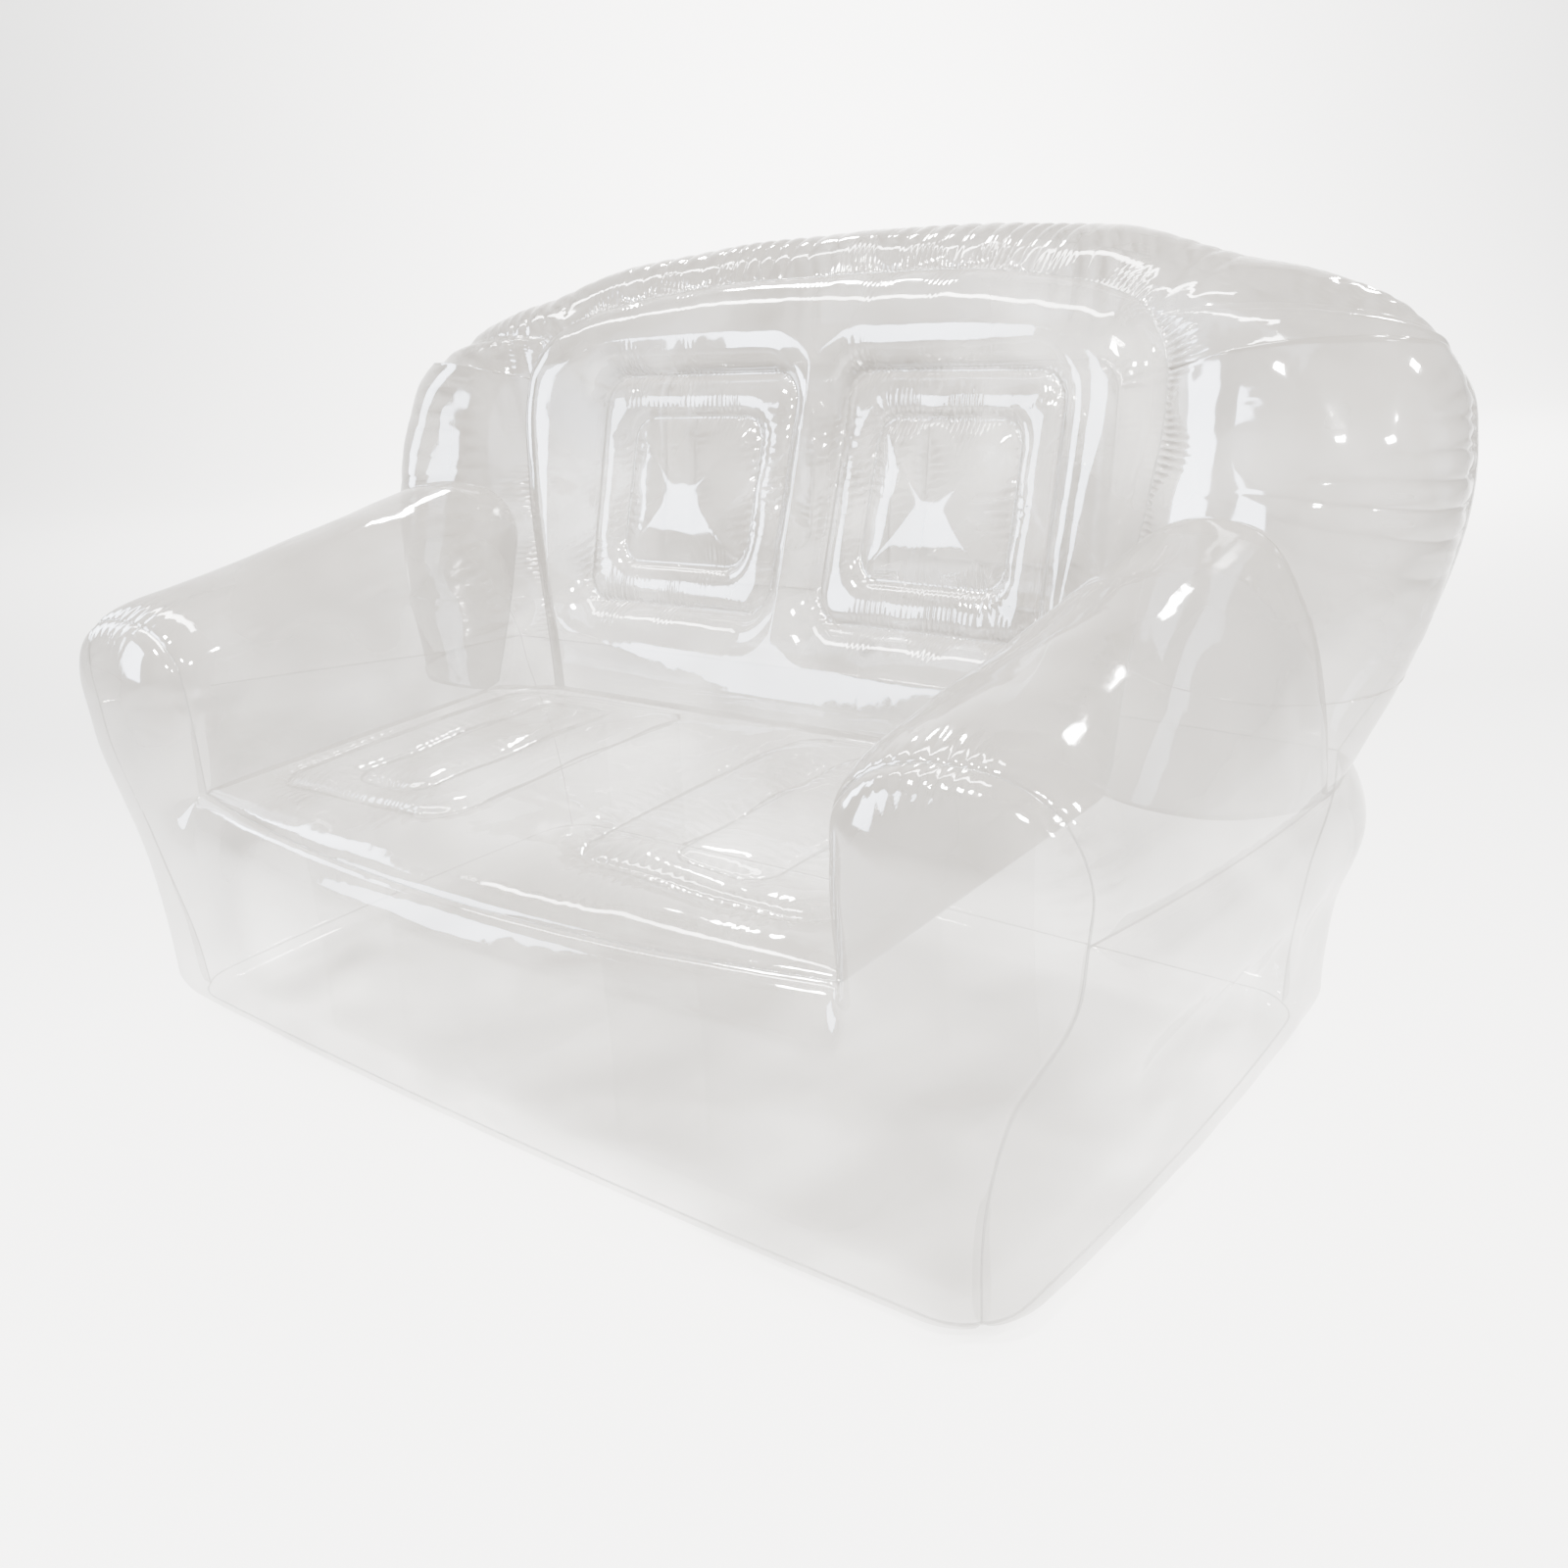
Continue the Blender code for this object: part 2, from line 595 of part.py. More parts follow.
def seat_grid():
    outer, inner = SEAT_RING_OUTER, SEAT_RING_INNER
    x = seat_columns()
    front, rear = seat_front(x), seat_rear(x)
    lead = mix(front[:, 1], outer["low"], eased(SEAT_LEAD_CELLS)[:-1, None])
    middle = stations([outer["low"], inner["low"], inner["high"]], SEAT_MIDDLE_CELLS)
    middle = np.repeat(middle[:, None], len(x), axis=1)
    trail = mix(inner["high"], rear[:, 1], even(SEAT_TRAIL_CELLS)[1:, None])
    y = np.concatenate([lead, middle, trail])
    x = np.repeat(x[None, :], len(y), axis=0)
    grid = np.stack([x, y, seat_z(x, y)], axis=-1)
    edge = distance_to_edges(grid)
    heights = (SEAT_PILLOW, SEAT_PILLOW)
    reaches = (SEAT_PILLOW_REACH, SEAT_PILLOW_REACH)
    grid[..., 2] += quilt(x, y, edge, outer, inner, heights, reaches)
    return grid


def quilted_face():
    grid = face_grid()
    edge = distance_to_edges(grid)
    heights = (FACE_PILLOW, WINDOW_PILLOW)
    reaches = (FACE_PILLOW_REACH, WINDOW_PILLOW_REACH)
    out = quilt(grid[..., 0], grid[..., 2], edge, BACK_RING_OUTER, BACK_RING_INNER, heights, reaches)
    grid[..., 1] -= out
    return grid


def quilted_rear():
    grid = rear_grid()
    edge = distance_to_edges(grid)
    heights = (REAR_PILLOW, WINDOW_PILLOW)
    reaches = (REAR_PILLOW_REACH, WINDOW_PILLOW_REACH)
    out = quilt(grid[..., 0], grid[..., 2], edge, BACK_RING_OUTER, BACK_RING_INNER, heights, reaches)
    grid[..., 1] += out
    return grid


# Base panels


def coons(low, high, start, end):
    """A sheet stretched between four edges: low and high run the same way, start and end join them."""
    rows, columns = len(start), len(low)
    up, across = even_like(start)[:, None, None], even_like(low)[None, :, None]
    ruled = mix(low[None], high[None], up) + mix(start[:, None], end[:, None], across)
    corners = mix(mix(low[0], low[-1], across), mix(high[0], high[-1], across), up)
    return (ruled - corners).reshape(rows, columns, -1)


def even_like(line):
    """Shares of a line's length at its points."""
    lengths = np.concatenate([[0.0], np.cumsum(np.linalg.norm(np.diff(line, axis=0), axis=1))])
    return lengths / lengths[-1]


def waist_seam():
    """From the front corner to the wing, then along the wing's foot to the rear."""
    shares = wing_shares()
    foot = foot_section(shares[shares >= share_at_x(WAIST_REAR_X) - 1e-9])
    front = np.array([ARM_OUTER_X, ARM_FRONT_Y, WAIST_FRONT_Z])
    run = eased(ARM_LENGTH_CELLS)[:, None]
    line = mix(front, foot[0], run)
    line[:, 0] += WAIST_BOW * (1.0 - (2.0 * run[:, 0] - 1.0) ** 2)
    return np.concatenate([line, foot[1:]])


def corners_rounded(grid):
    """Draws the base's upright corners in to a round, most at the floor and not at all at the rise."""
    middle = (FLOOR_FRONT_Y + FLOOR_REAR_Y) / 2
    side = np.maximum(np.abs(grid[..., 0]) - FLOOR_HALF_WIDTH + CORNER_ROUND, 0.0)
    deep = np.maximum(np.abs(grid[..., 1] - middle) - (FLOOR_REAR_Y - middle) + CORNER_ROUND, 0.0)
    draw = 1.0 - np.maximum(side, deep) / np.maximum(np.hypot(side, deep), MERGE)
    draw = np.where((side > 0.0) & (deep > 0.0), draw, 0.0)
    rise = np.clip((grid[..., 2] - FLOOR_SEAM_Z) / CORNER_RISE, 0.0, 1.0)
    draw *= (1.0 + np.cos(np.pi * rise)) / 2
    grid[..., 0] -= np.sign(grid[..., 0]) * side * draw
    grid[..., 1] -= np.sign(grid[..., 1] - middle) * deep * draw
    return grid


def side_grid():
    front = front_seam()
    rear = rear_seam(even_like(front[:, 2:]))
    top = waist_seam()
    low = floor_line(front[0], rear[0], even_like(top), (EDGE_BOW, 0.0, 0.0))
    grid = coons(low, top, front, rear)
    grid[..., 0] += bulge(distance_to_edges(grid), SIDE_CROWN, WALL_CROWN_REACH)
    return corners_rounded(grid)


def base_rear_grid():
    shares = eased(WALL_CELLS)
    end = rear_seam(shares)
    start = end * (-1, 1, 1)
    x = np.linspace(-1.0, 1.0, REAR_COLUMNS)
    width = x * BACK_REAR_HALF_WIDTH
    top = np.stack([width, rear_y(width, DECK_REAR_Z), np.full(len(x), DECK_REAR_Z)], axis=-1)
    low = floor_line(start[0], end[0], even_like(top), (0.0, EDGE_BOW, 0.0))
    grid = coons(low, top, start, end)
    grid[..., 1] += bulge(distance_to_edges(grid), REAR_CROWN, WALL_CROWN_REACH)
    return corners_rounded(grid)


def rimmed(rim_share):
    """Shares across the floor panel, with fine rows where its rim curls up."""
    rim = rim_share * (1.0 - np.cos(np.pi / 2 * even(RIM_CELLS)))
    return np.concatenate([rim[:-1], np.linspace(rim[-1], 1 - rim[-1], FLOOR_CELLS + 1), 1 - rim[-2::-1]])


def floor_grid():
    corner_front = np.array([FLOOR_HALF_WIDTH, FLOOR_FRONT_Y, FLOOR_SEAM_Z])
    corner_rear = np.array([FLOOR_HALF_WIDTH, FLOOR_REAR_Y, FLOOR_SEAM_Z])
    flip = (-1, 1, 1)
    across = rimmed(FLOOR_CURL / (2 * FLOOR_HALF_WIDTH))
    deep = rimmed(FLOOR_CURL / (FLOOR_REAR_Y - FLOOR_FRONT_Y))
    front = floor_line(corner_front * flip, corner_front, across, (0.0, -EDGE_BOW, 0.0))
    rear = floor_line(corner_rear * flip, corner_rear, across, (0.0, EDGE_BOW, 0.0))
    right = floor_line(corner_front, corner_rear, deep, (EDGE_BOW, 0.0, 0.0))
    grid = coons(front, rear, right * flip, right)
    inward = np.clip(distance_to_edges(grid) / FLOOR_CURL, 0.0, 1.0)
    grid[..., 2] = FLOOR_SEAM_Z * (1.0 - np.sqrt(1.0 - (1.0 - inward) ** 2))
    return corners_rounded(grid)


def deck_grid():
    """Half of the sheet between the two chambers, at the height of the seams that it joins."""
    foot = foot_section(wing_shares())
    x = FOOT_X * even(DECK_CELLS)
    front = np.stack([x, np.full(len(x), FOOT_Y), np.full(len(x), SEAT_REAR_Z)], axis=-1)
    turn = len(foot) - 1 - WING_SECTION_CELLS[-1]
    low = np.concatenate([front, foot[1 : turn + 1]])
    end = foot[turn:]
    rear_x = even_like(low) * BACK_REAR_HALF_WIDTH
    high = np.stack([rear_x, rear_y(rear_x, DECK_REAR_Z), np.full(len(rear_x), DECK_REAR_Z)], axis=-1)
    start = mix(low[0], high[0], even_like(end)[:, None])
    return coons(low, high, start, end)


def front_wall(seam):
    """The base's front, from the floor seam to the height of the seat seam."""
    wall = seam[: WALL_CELLS + 1]
    x = front_columns()
    share = (x / x[-1] + 1) / 2
    low = floor_line(wall[0] * (-1, 1, 1), wall[0], share, (0.0, -EDGE_BOW, 0.0))
    seat = np.abs(x) <= SEAT_HALF_WIDTH + FILM
    top = seat_front(np.where(seat, x, 0.0))
    lobe = np.abs(x) > SEAT_HALF_WIDTH + FILM
    reach = (np.abs(x[lobe]) - SEAT_HALF_WIDTH) / (x[-1] - SEAT_HALF_WIDTH)
    top[lobe] = mix(seat_front(SEAT_HALF_WIDTH), wall[-1], reach[:, None])
    top[lobe, 0] *= np.sign(x[lobe])
    return coons(low, top, wall * (-1, 1, 1), wall)


def front_columns():
    half = SEAT_HALF_WIDTH * even(FRONT_CELLS)
    width = front_seam()[WALL_CELLS, 0]
    lobe = SEAT_HALF_WIDTH + (width - SEAT_HALF_WIDTH) * even(2 * LOBE_CELLS)[1:]
    return mirrored(np.concatenate([half, lobe]))


def front_lobe(seam, wall_top):
    """An arm's front, above the height of the seat seam, on the side at +X."""
    edge = arm_front()
    over = edge[: 2 * LOBE_CELLS + 1][::-1]
    inner = edge[2 * LOBE_CELLS :][::-1]
    outer = seam[WALL_CELLS:]
    return coons(wall_top[-2 * LOBE_CELLS - 1 :], over, inner, outer)


def arm_grid(wing_tree):
    """An arm's rolled top: straight lines from the front arch back to where they meet the wing."""
    front = arm_front()
    foot = foot_section([share_at_x(WAIST_REAR_X), share_at_x(SEAT_HALF_WIDTH)])
    section = arch(foot[0, 0], foot[1, 0], foot[0, 2], foot[1, 2], ARM_TOP_REAR_Z)
    line = along(section, arch_shares())
    y = mix(foot[0, 1], foot[1, 1], arch_shares())
    rear = np.stack([line[:, 0], y, line[:, 1]], axis=-1)
    for index in range(1, len(rear) - 1):
        rear[index] = meet(wing_tree, front[index], rear[index], ARM_TO_WING_GAP)
    ends = np.array([0, -1])
    rear[ends] -= ARM_TO_WING_GAP * unit(rear[ends] - front[ends])
    draw_back(wing_tree, rear, unit(rear - front))
    grid = mix(front[None], rear[None], eased(ARM_LENGTH_CELLS)[:, None, None])
    run = eased(ARM_LENGTH_CELLS)[:, None]
    grid[..., 0] += WAIST_BOW * (1.0 - (2.0 * run - 1.0) ** 2) * (1.0 - arch_shares()) ** 4
    across = np.gradient(grid, axis=1)
    out = unit(np.stack([across[..., 2], np.zeros(across.shape[:2]), -across[..., 0]], axis=-1))
    return grid + bulge(distance_to_edges(grid), ARM_CROWN, ARM_CROWN_REACH)[..., None] * out


# Sheets turned into film


def meet(tree, start, through, gap):
    """The point on the line from start through another point that lies a gap short of the surface."""
    direction = Vector(through - start).normalized()
    hit, normal, _, _ = tree.ray_cast(Vector(start), direction)
    if hit is None:
        raise ValueError("a line that should end on a panel misses it")
    return np.array(hit - direction * gap / abs(direction.dot(normal)))


def draw_back(tree, line, directions):
    """Draws a line's points back until the straight pieces between them clear the surface too."""
    for index in list(range(len(line) - 1)) * DRAW_BACK_PASSES:
        for share in PROBE_SHARES:
            point = Vector(mix(line[index], line[index + 1], share))
            hit, normal, _, _ = tree.find_nearest(point)
            short = ARM_TO_WING_GAP / 2 - (point - hit).dot(normal)
            if short > 0.0:
                line[index : index + 2] -= short * directions[index : index + 2]


def inset(grid, low=True, high=True, start=True, end=True, by=SEAM_INSET):
    """The sheet with its edges drawn back from their seams."""
    grid = grid.copy()
    for wanted, edge, inner in (
        (low, np.s_[0], np.s_[1]),
        (high, np.s_[-1], np.s_[-2]),
        (start, np.s_[:, 0], np.s_[:, 1]),
        (end, np.s_[:, -1], np.s_[:, -2]),
    ):
        if wanted:
            grid[edge] = grid[edge] + by * unit(grid[inner] - grid[edge])
    return grid


def add_sheet(mesh, grid):
    """Adds a flat grid to the mesh and moves its points to the sheet's."""
    rows, columns = grid.shape[:2]
    before = len(mesh.verts)
    bmesh.ops.create_grid(mesh, x_segments=columns - 1, y_segments=rows - 1, size=0.5)
    mesh.verts.ensure_lookup_table()
    for vertex in mesh.verts[before:]:
        column = round((vertex.co.x + 0.5) * (columns - 1))
        row = round((vertex.co.y + 0.5) * (rows - 1))
        vertex.co = grid[row, column]


def sheet_mesh(grids, outward):
    """One sheet from grids that share edges, in triangles that face outward."""
    mesh = bmesh.new()
    for grid in grids:
        add_sheet(mesh, grid)
    bmesh.ops.remove_doubles(mesh, verts=mesh.verts, dist=MERGE)
    bmesh.ops.triangulate(mesh, faces=mesh.faces, quad_method="SHORT_EDGE")
    bmesh.ops.recalc_face_normals(mesh, faces=mesh.faces)
    facing = sum((face.normal * face.calc_area() for face in mesh.faces), Vector())
    if facing.dot(Vector(outward)) < 0.0:
        bmesh.ops.reverse_faces(mesh, faces=mesh.faces)
    return mesh


def film_object(name, mesh, collection, material, offset=-1.0):
    """A film panel: an open sheet with its thickness on the air's side."""
    data = bpy.data.meshes.new(name)
    mesh.to_mesh(data)
    mesh.free()
    data.shade_smooth()
    data.materials.append(material)
    obj = bpy.data.objects.new(name, data)
    collection.objects.link(obj)
    solidify = obj.modifiers.new("film", "SOLIDIFY")
    solidify.thickness = FILM
    solidify.offset = offset
    return obj


def panel(name, grids, outward, collection, material):
    """The panel's object, and its outer surface to measure other pieces against."""
    mesh = sheet_mesh(grids, outward)
    tree = BVHTree.FromBMesh(mesh)
    return film_object(name, mesh, collection, material), tree


def flipped(grid):
    return grid * (-1.0, 1.0, 1.0)


def front_grids():
    """The front panel in three grids: the wall, and an arm's front at each side."""
    seam = front_seam()
    wall = inset(front_wall(seam), high=False)
    seat = np.abs(front_columns()) <= SEAT_HALF_WIDTH + FILM
    wall[-1, seat] += SEAM_INSET * unit(wall[-2, seat] - wall[-1, seat])
    lobe = front_lobe(seam, wall[-1])
    lobe[0] = wall[-1, -lobe.shape[1] :]
    lobe[1:] = inset(lobe, low=False)[1:]
    edges = (wall[0], wall[:, 0], wall[:, -1], wall[-1, seat], lobe[:, 0], lobe[:, -1], lobe[-1])
    edges += (flipped(lobe[:, 0]), flipped(lobe[:, -1]), flipped(lobe[-1]))
    grids = [wall, lobe, flipped(lobe)]
    for grid in grids:
        distance = np.min([distance_to_line(grid, edge) for edge in edges], axis=0)
        grid[..., 1] -= bulge(distance, FRONT_CROWN, FRONT_CROWN_REACH)
        corners_rounded(grid)
    return grids


def flatten(grid, rows, columns):
    """Lays a run of cells in one plane across the panel, for a valve's flange to seat on."""
    for row in rows:
        grid[row, columns, 1:] = grid[row, columns, 1:].mean(axis=0)
    low, high = grid[rows[0], columns].mean(axis=0), grid[rows[-1], columns].mean(axis=0)
    up = unit((high - low) * (0.0, 1.0, 1.0))
    out = np.array([0.0, up[2], -up[1]])
    centre = (low + high) / 2
    across = np.cross(up, out)
    frame = Matrix.Identity(4)
    for column, axis in enumerate((across, up, out, centre)):
        for row in range(3):
            frame[row][column] = axis[row]
    return frame


def back_panel_grid():
    """The back's rear panel, and the frame of the flat place for its valve."""
    grid = quilted_rear()
    middle = grid.shape[1] // 2
    frame = flatten(grid, (1, 2), [middle - 1, middle, middle + 1])
    return grid, frame


def base_panel_grid():
    grid = base_rear_grid()
    middle = grid.shape[1] // 2
    frame = flatten(grid, (WALL_CELLS // 2, WALL_CELLS // 2 + 1), [middle - 1, middle])
    return grid, frame


# Tie rings


def ring_loop(ring):
    """Points round a ring: an arc at each corner, and a few along each straight side."""
    centre = ((ring["near"] + ring["far"]) / 2, (ring["low"] + ring["high"]) / 2)
    half = ((ring["far"] - ring["near"]) / 2, (ring["high"] - ring["low"]) / 2)
    reach = (half[0] - ring["round"], half[1] - ring["round"])
    corners = []
    for quarter, (sign_a, sign_b) in enumerate(((1, 1), (-1, 1), (-1, -1), (1, -1))):
        for step in range(RING_CORNER_STEPS + 1):
            angle = (quarter + step / RING_CORNER_STEPS) * math.pi / 2
            corners.append(
                (
                    centre[0] + sign_a * reach[0] + ring["round"] * math.cos(angle),
                    centre[1] + sign_b * reach[1] + ring["round"] * math.sin(angle),
                )
            )
    loop = []
    for start, end in zip(corners, corners[1:] + corners[:1]):
        cells = max(1, round(math.dist(start, end) / RING_SIDE_STEP))
        loop += [mix(np.array(start), np.array(end), i / cells) for i in range(cells)]
    return np.array(loop)


def ring_object(name, low, high, collection, material):
    """A tie ring: a strip of film stood on edge, from one panel's weld line to the other's."""
    mesh = bmesh.new()
    count = len(low)
    bmesh.ops.create_cone(mesh, cap_ends=False, segments=count, radius1=1.0, radius2=1.0, depth=2.0)
    for vertex in mesh.verts:
        index = round(math.atan2(vertex.co.x, vertex.co.y) / math.tau * count) % count
        vertex.co = (high if vertex.co.z > 0.0 else low)[index]
    bmesh.ops.recalc_face_normals(mesh, faces=mesh.faces)
    return film_object(name, mesh, collection, material, offset=0.0)


def ring_edge(tree, start, direction):
    """A ring's edge: a gap short of a panel at its points, and along the straight pieces between them."""
    direction = np.array(direction)
    gap = FILM + BEAM_GAP
    edge = np.array([meet(tree, point, point + direction, gap) for point in start])
    count = len(edge)
    for index in list(range(count)) * DRAW_BACK_PASSES:
        pair = [index, (index + 1) % count]
        for share in PROBE_SHARES:
            base = mix(start[pair[0]], start[pair[1]], share)
            limit = meet(tree, base, base + direction, gap)
            over = (mix(edge[pair[0]], edge[pair[1]], share) - limit).dot(direction)
            if over > 0.0:
                edge[pair] -= over * direction
    return edge


def seat_ring(name, ring, side, seat_tree, collection, material):
    loop = ring_loop(ring) * (side, 1.0)
    low = np.column_stack([loop, np.full(len(loop), FILM + BEAM_GAP)])
    high = ring_edge(seat_tree, low, (0.0, 0.0, 1.0))
    return ring_object(name, low, high, collection, material)


def back_ring(name, ring, side, face_tree, rear_tree, collection, material):
    loop = ring_loop(ring) * (side, 1.0)
    inside = (face_y(*loop.T) + rear_y(*loop.T)) / 2
    middle = np.column_stack([loop[:, 0], inside, loop[:, 1]])
    low = ring_edge(face_tree, middle, (0.0, -1.0, 0.0))
    high = ring_edge(rear_tree, middle, (0.0, 1.0, 0.0))
    return ring_object(name, low, high, collection, material)


# Filling valves


def turned(name, profile, collection, material, closed=False):
    """A turned piece from a profile of radius and height, listed down its outer side."""
    data = bpy.data.meshes.new(name)
    edges = [(i, i + 1) for i in range(len(profile) - 1)]
    if closed:
        edges.append((len(profile) - 1, 0))
    data.from_pydata([(radius, 0.0, z) for radius, z in profile], edges, [])
    data.materials.append(material)
    obj = bpy.data.objects.new(name, data)
    collection.objects.link(obj)
    screw = obj.modifiers.new("turn", "SCREW")
    screw.steps = VALVE_STEPS
    screw.render_steps = VALVE_STEPS
    screw.use_merge_vertices = True
    screw.merge_threshold = MERGE
    screw.use_smooth_shade = False
    return obj


def as_mesh(obj):
    """Turns an object's modifiers into its mesh."""
    graph = bpy.context.evaluated_depsgraph_get()
    made = bpy.data.meshes.new_from_object(obj.evaluated_get(graph))
    obj.modifiers.clear()
    old = obj.data
    obj.data = made
    bpy.data.meshes.remove(old)


def join(obj, others):
    """Fuses loose solids to a piece."""
    bpy.context.view_layer.update()
    as_mesh(obj)
    for index, other in enumerate(others):
        union = obj.modifiers.new(f"join{index}", "BOOLEAN")
        union.operation = "UNION"
        union.object = other
        bpy.context.view_layer.update()
        as_mesh(obj)
        bpy.data.objects.remove(other)


def box(name, low, high, collection, material):
    mesh = bmesh.new()
    bmesh.ops.create_cube(mesh, size=1.0)
    low, high = Vector(low), Vector(high)
    for vertex in mesh.verts:
        vertex.co = Vector(mix(a, b, share + 0.5) for a, b, share in zip(low, high, vertex.co))
    return solid(name, mesh, collection, material)


def barrel(name, centre, radius, width, collection, material):
    """A short cylinder across the valve, round a hinge's axis."""
    mesh = bmesh.new()
    turn = Matrix.Translation(centre) @ Matrix.Rotation(math.pi / 2, 4, "Y")
    bmesh.ops.create_cone(
        mesh, cap_ends=True, segments=HINGE_STEPS, radius1=radius, radius2=radius, depth=width, matrix=turn
    )
    return solid(name, mesh, collection, material)


def solid(name, mesh, collection, material):
    data = bpy.data.meshes.new(name)
    mesh.to_mesh(data)
    mesh.free()
    data.materials.append(material)
    obj = bpy.data.objects.new(name, data)
    collection.objects.link(obj)
    return obj


def move_origin(obj, place):
    """Puts an object's origin on its joint's axis, without moving the object."""
    obj.data.transform(Matrix.Translation(-Vector(place)))
    obj.location = place


def valve_flange(name, collection, material):
    """A disc welded to the film, with a collar through it that the stem slides in."""
    seat = RUNNING_GAP
    bore = STEM_RADIUS + RUNNING_GAP
    profile = [
        (bore, COLLAR_OUT),
        (COLLAR_RADIUS, COLLAR_OUT),
        (COLLAR_RADIUS, seat + FLANGE_THICK),
        (FLANGE_RADIUS - FLANGE_EDGE, seat + FLANGE_THICK),
        (FLANGE_RADIUS, seat + FLANGE_EDGE / 2),
        (FLANGE_RADIUS, seat),
        (COLLAR_RADIUS, seat),
        (COLLAR_RADIUS, -COLLAR_IN),
        (bore, -COLLAR_IN),
    ]
    return turned(name, profile, collection, material, closed=True)


def valve_stem(name, collection, material):
    """A tube with a lip outside and a bead inside that keep it in its collar, and two hinge lugs."""
    bead = -COLLAR_IN - RUNNING_GAP
    profile = [
        (BORE_RADIUS, STEM_OUT),
        (LIP_RADIUS, STEM_OUT),
        (LIP_RADIUS, STEM_OUT - LIP_THICK),
        (STEM_RADIUS, STEM_OUT - 2 * LIP_THICK),
        (STEM_RADIUS, bead),
        (BEAD_RADIUS, bead),
        (BEAD_RADIUS, bead - BEAD_THICK),
        (STEM_RADIUS, bead - 2 * BEAD_THICK),
        (STEM_RADIUS, -STEM_IN),
        (BORE_RADIUS, -STEM_IN),
    ]
    stem = turned(name, profile, collection, material, closed=True)
    lug_reach = HINGE_REACH - HINGE_RADIUS - RUNNING_GAP
    half = HINGE_WIDTH / 2
    lug = box(
        "lug",
        (-half, STEM_RADIUS, STEM_OUT - LIP_THICK),
        (half, lug_reach, STEM_OUT - FLANGE_EDGE / 2),
        collection,
        material,
    )
    join(stem, [lug])
    return stem


def valve_plug(name, collection, material):
    """A cap with a tapered nose that stops the bore, on a short strap to its hinge."""
    seat = STEM_OUT + RUNNING_GAP
    profile = [
        (0.0, seat + CAP_THICK),
        (CAP_RADIUS - CAP_EDGE, seat + CAP_THICK),
        (CAP_RADIUS, seat + CAP_THICK - CAP_EDGE),
        (CAP_RADIUS, seat),
        (NOSE_RADIUS, seat),
        (NOSE_RADIUS, seat - NOSE_LENGTH / 2),
        (NOSE_TIP_RADIUS, seat - NOSE_LENGTH),
        (0.0, seat - NOSE_LENGTH),
    ]
    plug = turned(name, profile, collection, material)
    axis = (0.0, HINGE_REACH, seat + HINGE_RADIUS)
    half = HINGE_WIDTH / 2
    strap_low = seat + HINGE_RADIUS - STRAP_THICK / 2
    strap = box(
        "strap",
        (-half, CAP_RADIUS / 2, strap_low),
        (half, HINGE_REACH, strap_low + STRAP_THICK),
        collection,
        material,
    )
    knuckle = barrel("knuckle", axis, HINGE_RADIUS, HINGE_WIDTH + STRAP_THICK, collection, material)
    join(plug, [strap, knuckle])
    move_origin(plug, axis)
    return plug


def valve_flap(name, collection, material):
    """The check flap over the stem's inner end: air blown in opens it, and air in the chamber shuts it."""
    top = -STEM_IN - RUNNING_GAP
    profile = [(0.0, top), (FLAP_RADIUS, top), (FLAP_RADIUS, top - FLAP_THICK), (0.0, top - FLAP_THICK)]
    flap = turned(name, profile, collection, material)
    axis = (0.0, FLAP_HINGE_REACH, top - FLAP_THICK / 2)
    knuckle = barrel("knuckle", axis, FLAP_THICK / 2, HINGE_WIDTH, collection, material)
    half = HINGE_WIDTH / 2
    tab = box(
        "tab",
        (-half * TAB_SHARE, FLAP_RADIUS / 2, top - FLAP_THICK * TAB_SHARE),
        (half * TAB_SHARE, FLAP_HINGE_REACH, top - FLAP_THICK * (1.0 - TAB_SHARE)),
        collection,
        material,
    )
    join(flap, [tab, knuckle])
    move_origin(flap, axis)
    return flap


def cut_valve_hole(film, valve, cutters):
    """The hole in a panel that the valve's collar passes through."""
    mesh = bmesh.new()
    radius = COLLAR_RADIUS + RUNNING_GAP
    bmesh.ops.create_cone(
        mesh, cap_ends=True, segments=VALVE_STEPS, radius1=radius, radius2=radius, depth=2 * COLLAR_IN
    )
    cutter = solid(f"{film.name}_hole", mesh, cutters, film.data.materials[0])
    cutter.parent = valve
    cutter.hide_render = True
    cutter.display_type = "WIRE"
    cut = film.modifiers.new("valve_hole", "BOOLEAN")
    cut.operation = "DIFFERENCE"
    cut.object = cutter


def add_valve(prefix, film, frame, collection, cutters, material):
    valve = bpy.data.objects.new(f"{prefix}_valve", None)
    valve.matrix_world = frame
    collection.objects.link(valve)
    flange = valve_flange(f"{prefix}_valve_flange", collection, material)
    stem = valve_stem(f"{prefix}_valve_stem", collection, material)
    plug = valve_plug(f"{prefix}_valve_plug", collection, material)
    flap = valve_flap(f"{prefix}_valve_flap", collection, material)
    flange.parent = valve
    stem.parent = valve
    plug.parent = stem
    flap.parent = stem
    cut_valve_hole(film, valve, cutters)
    return valve


# The chair


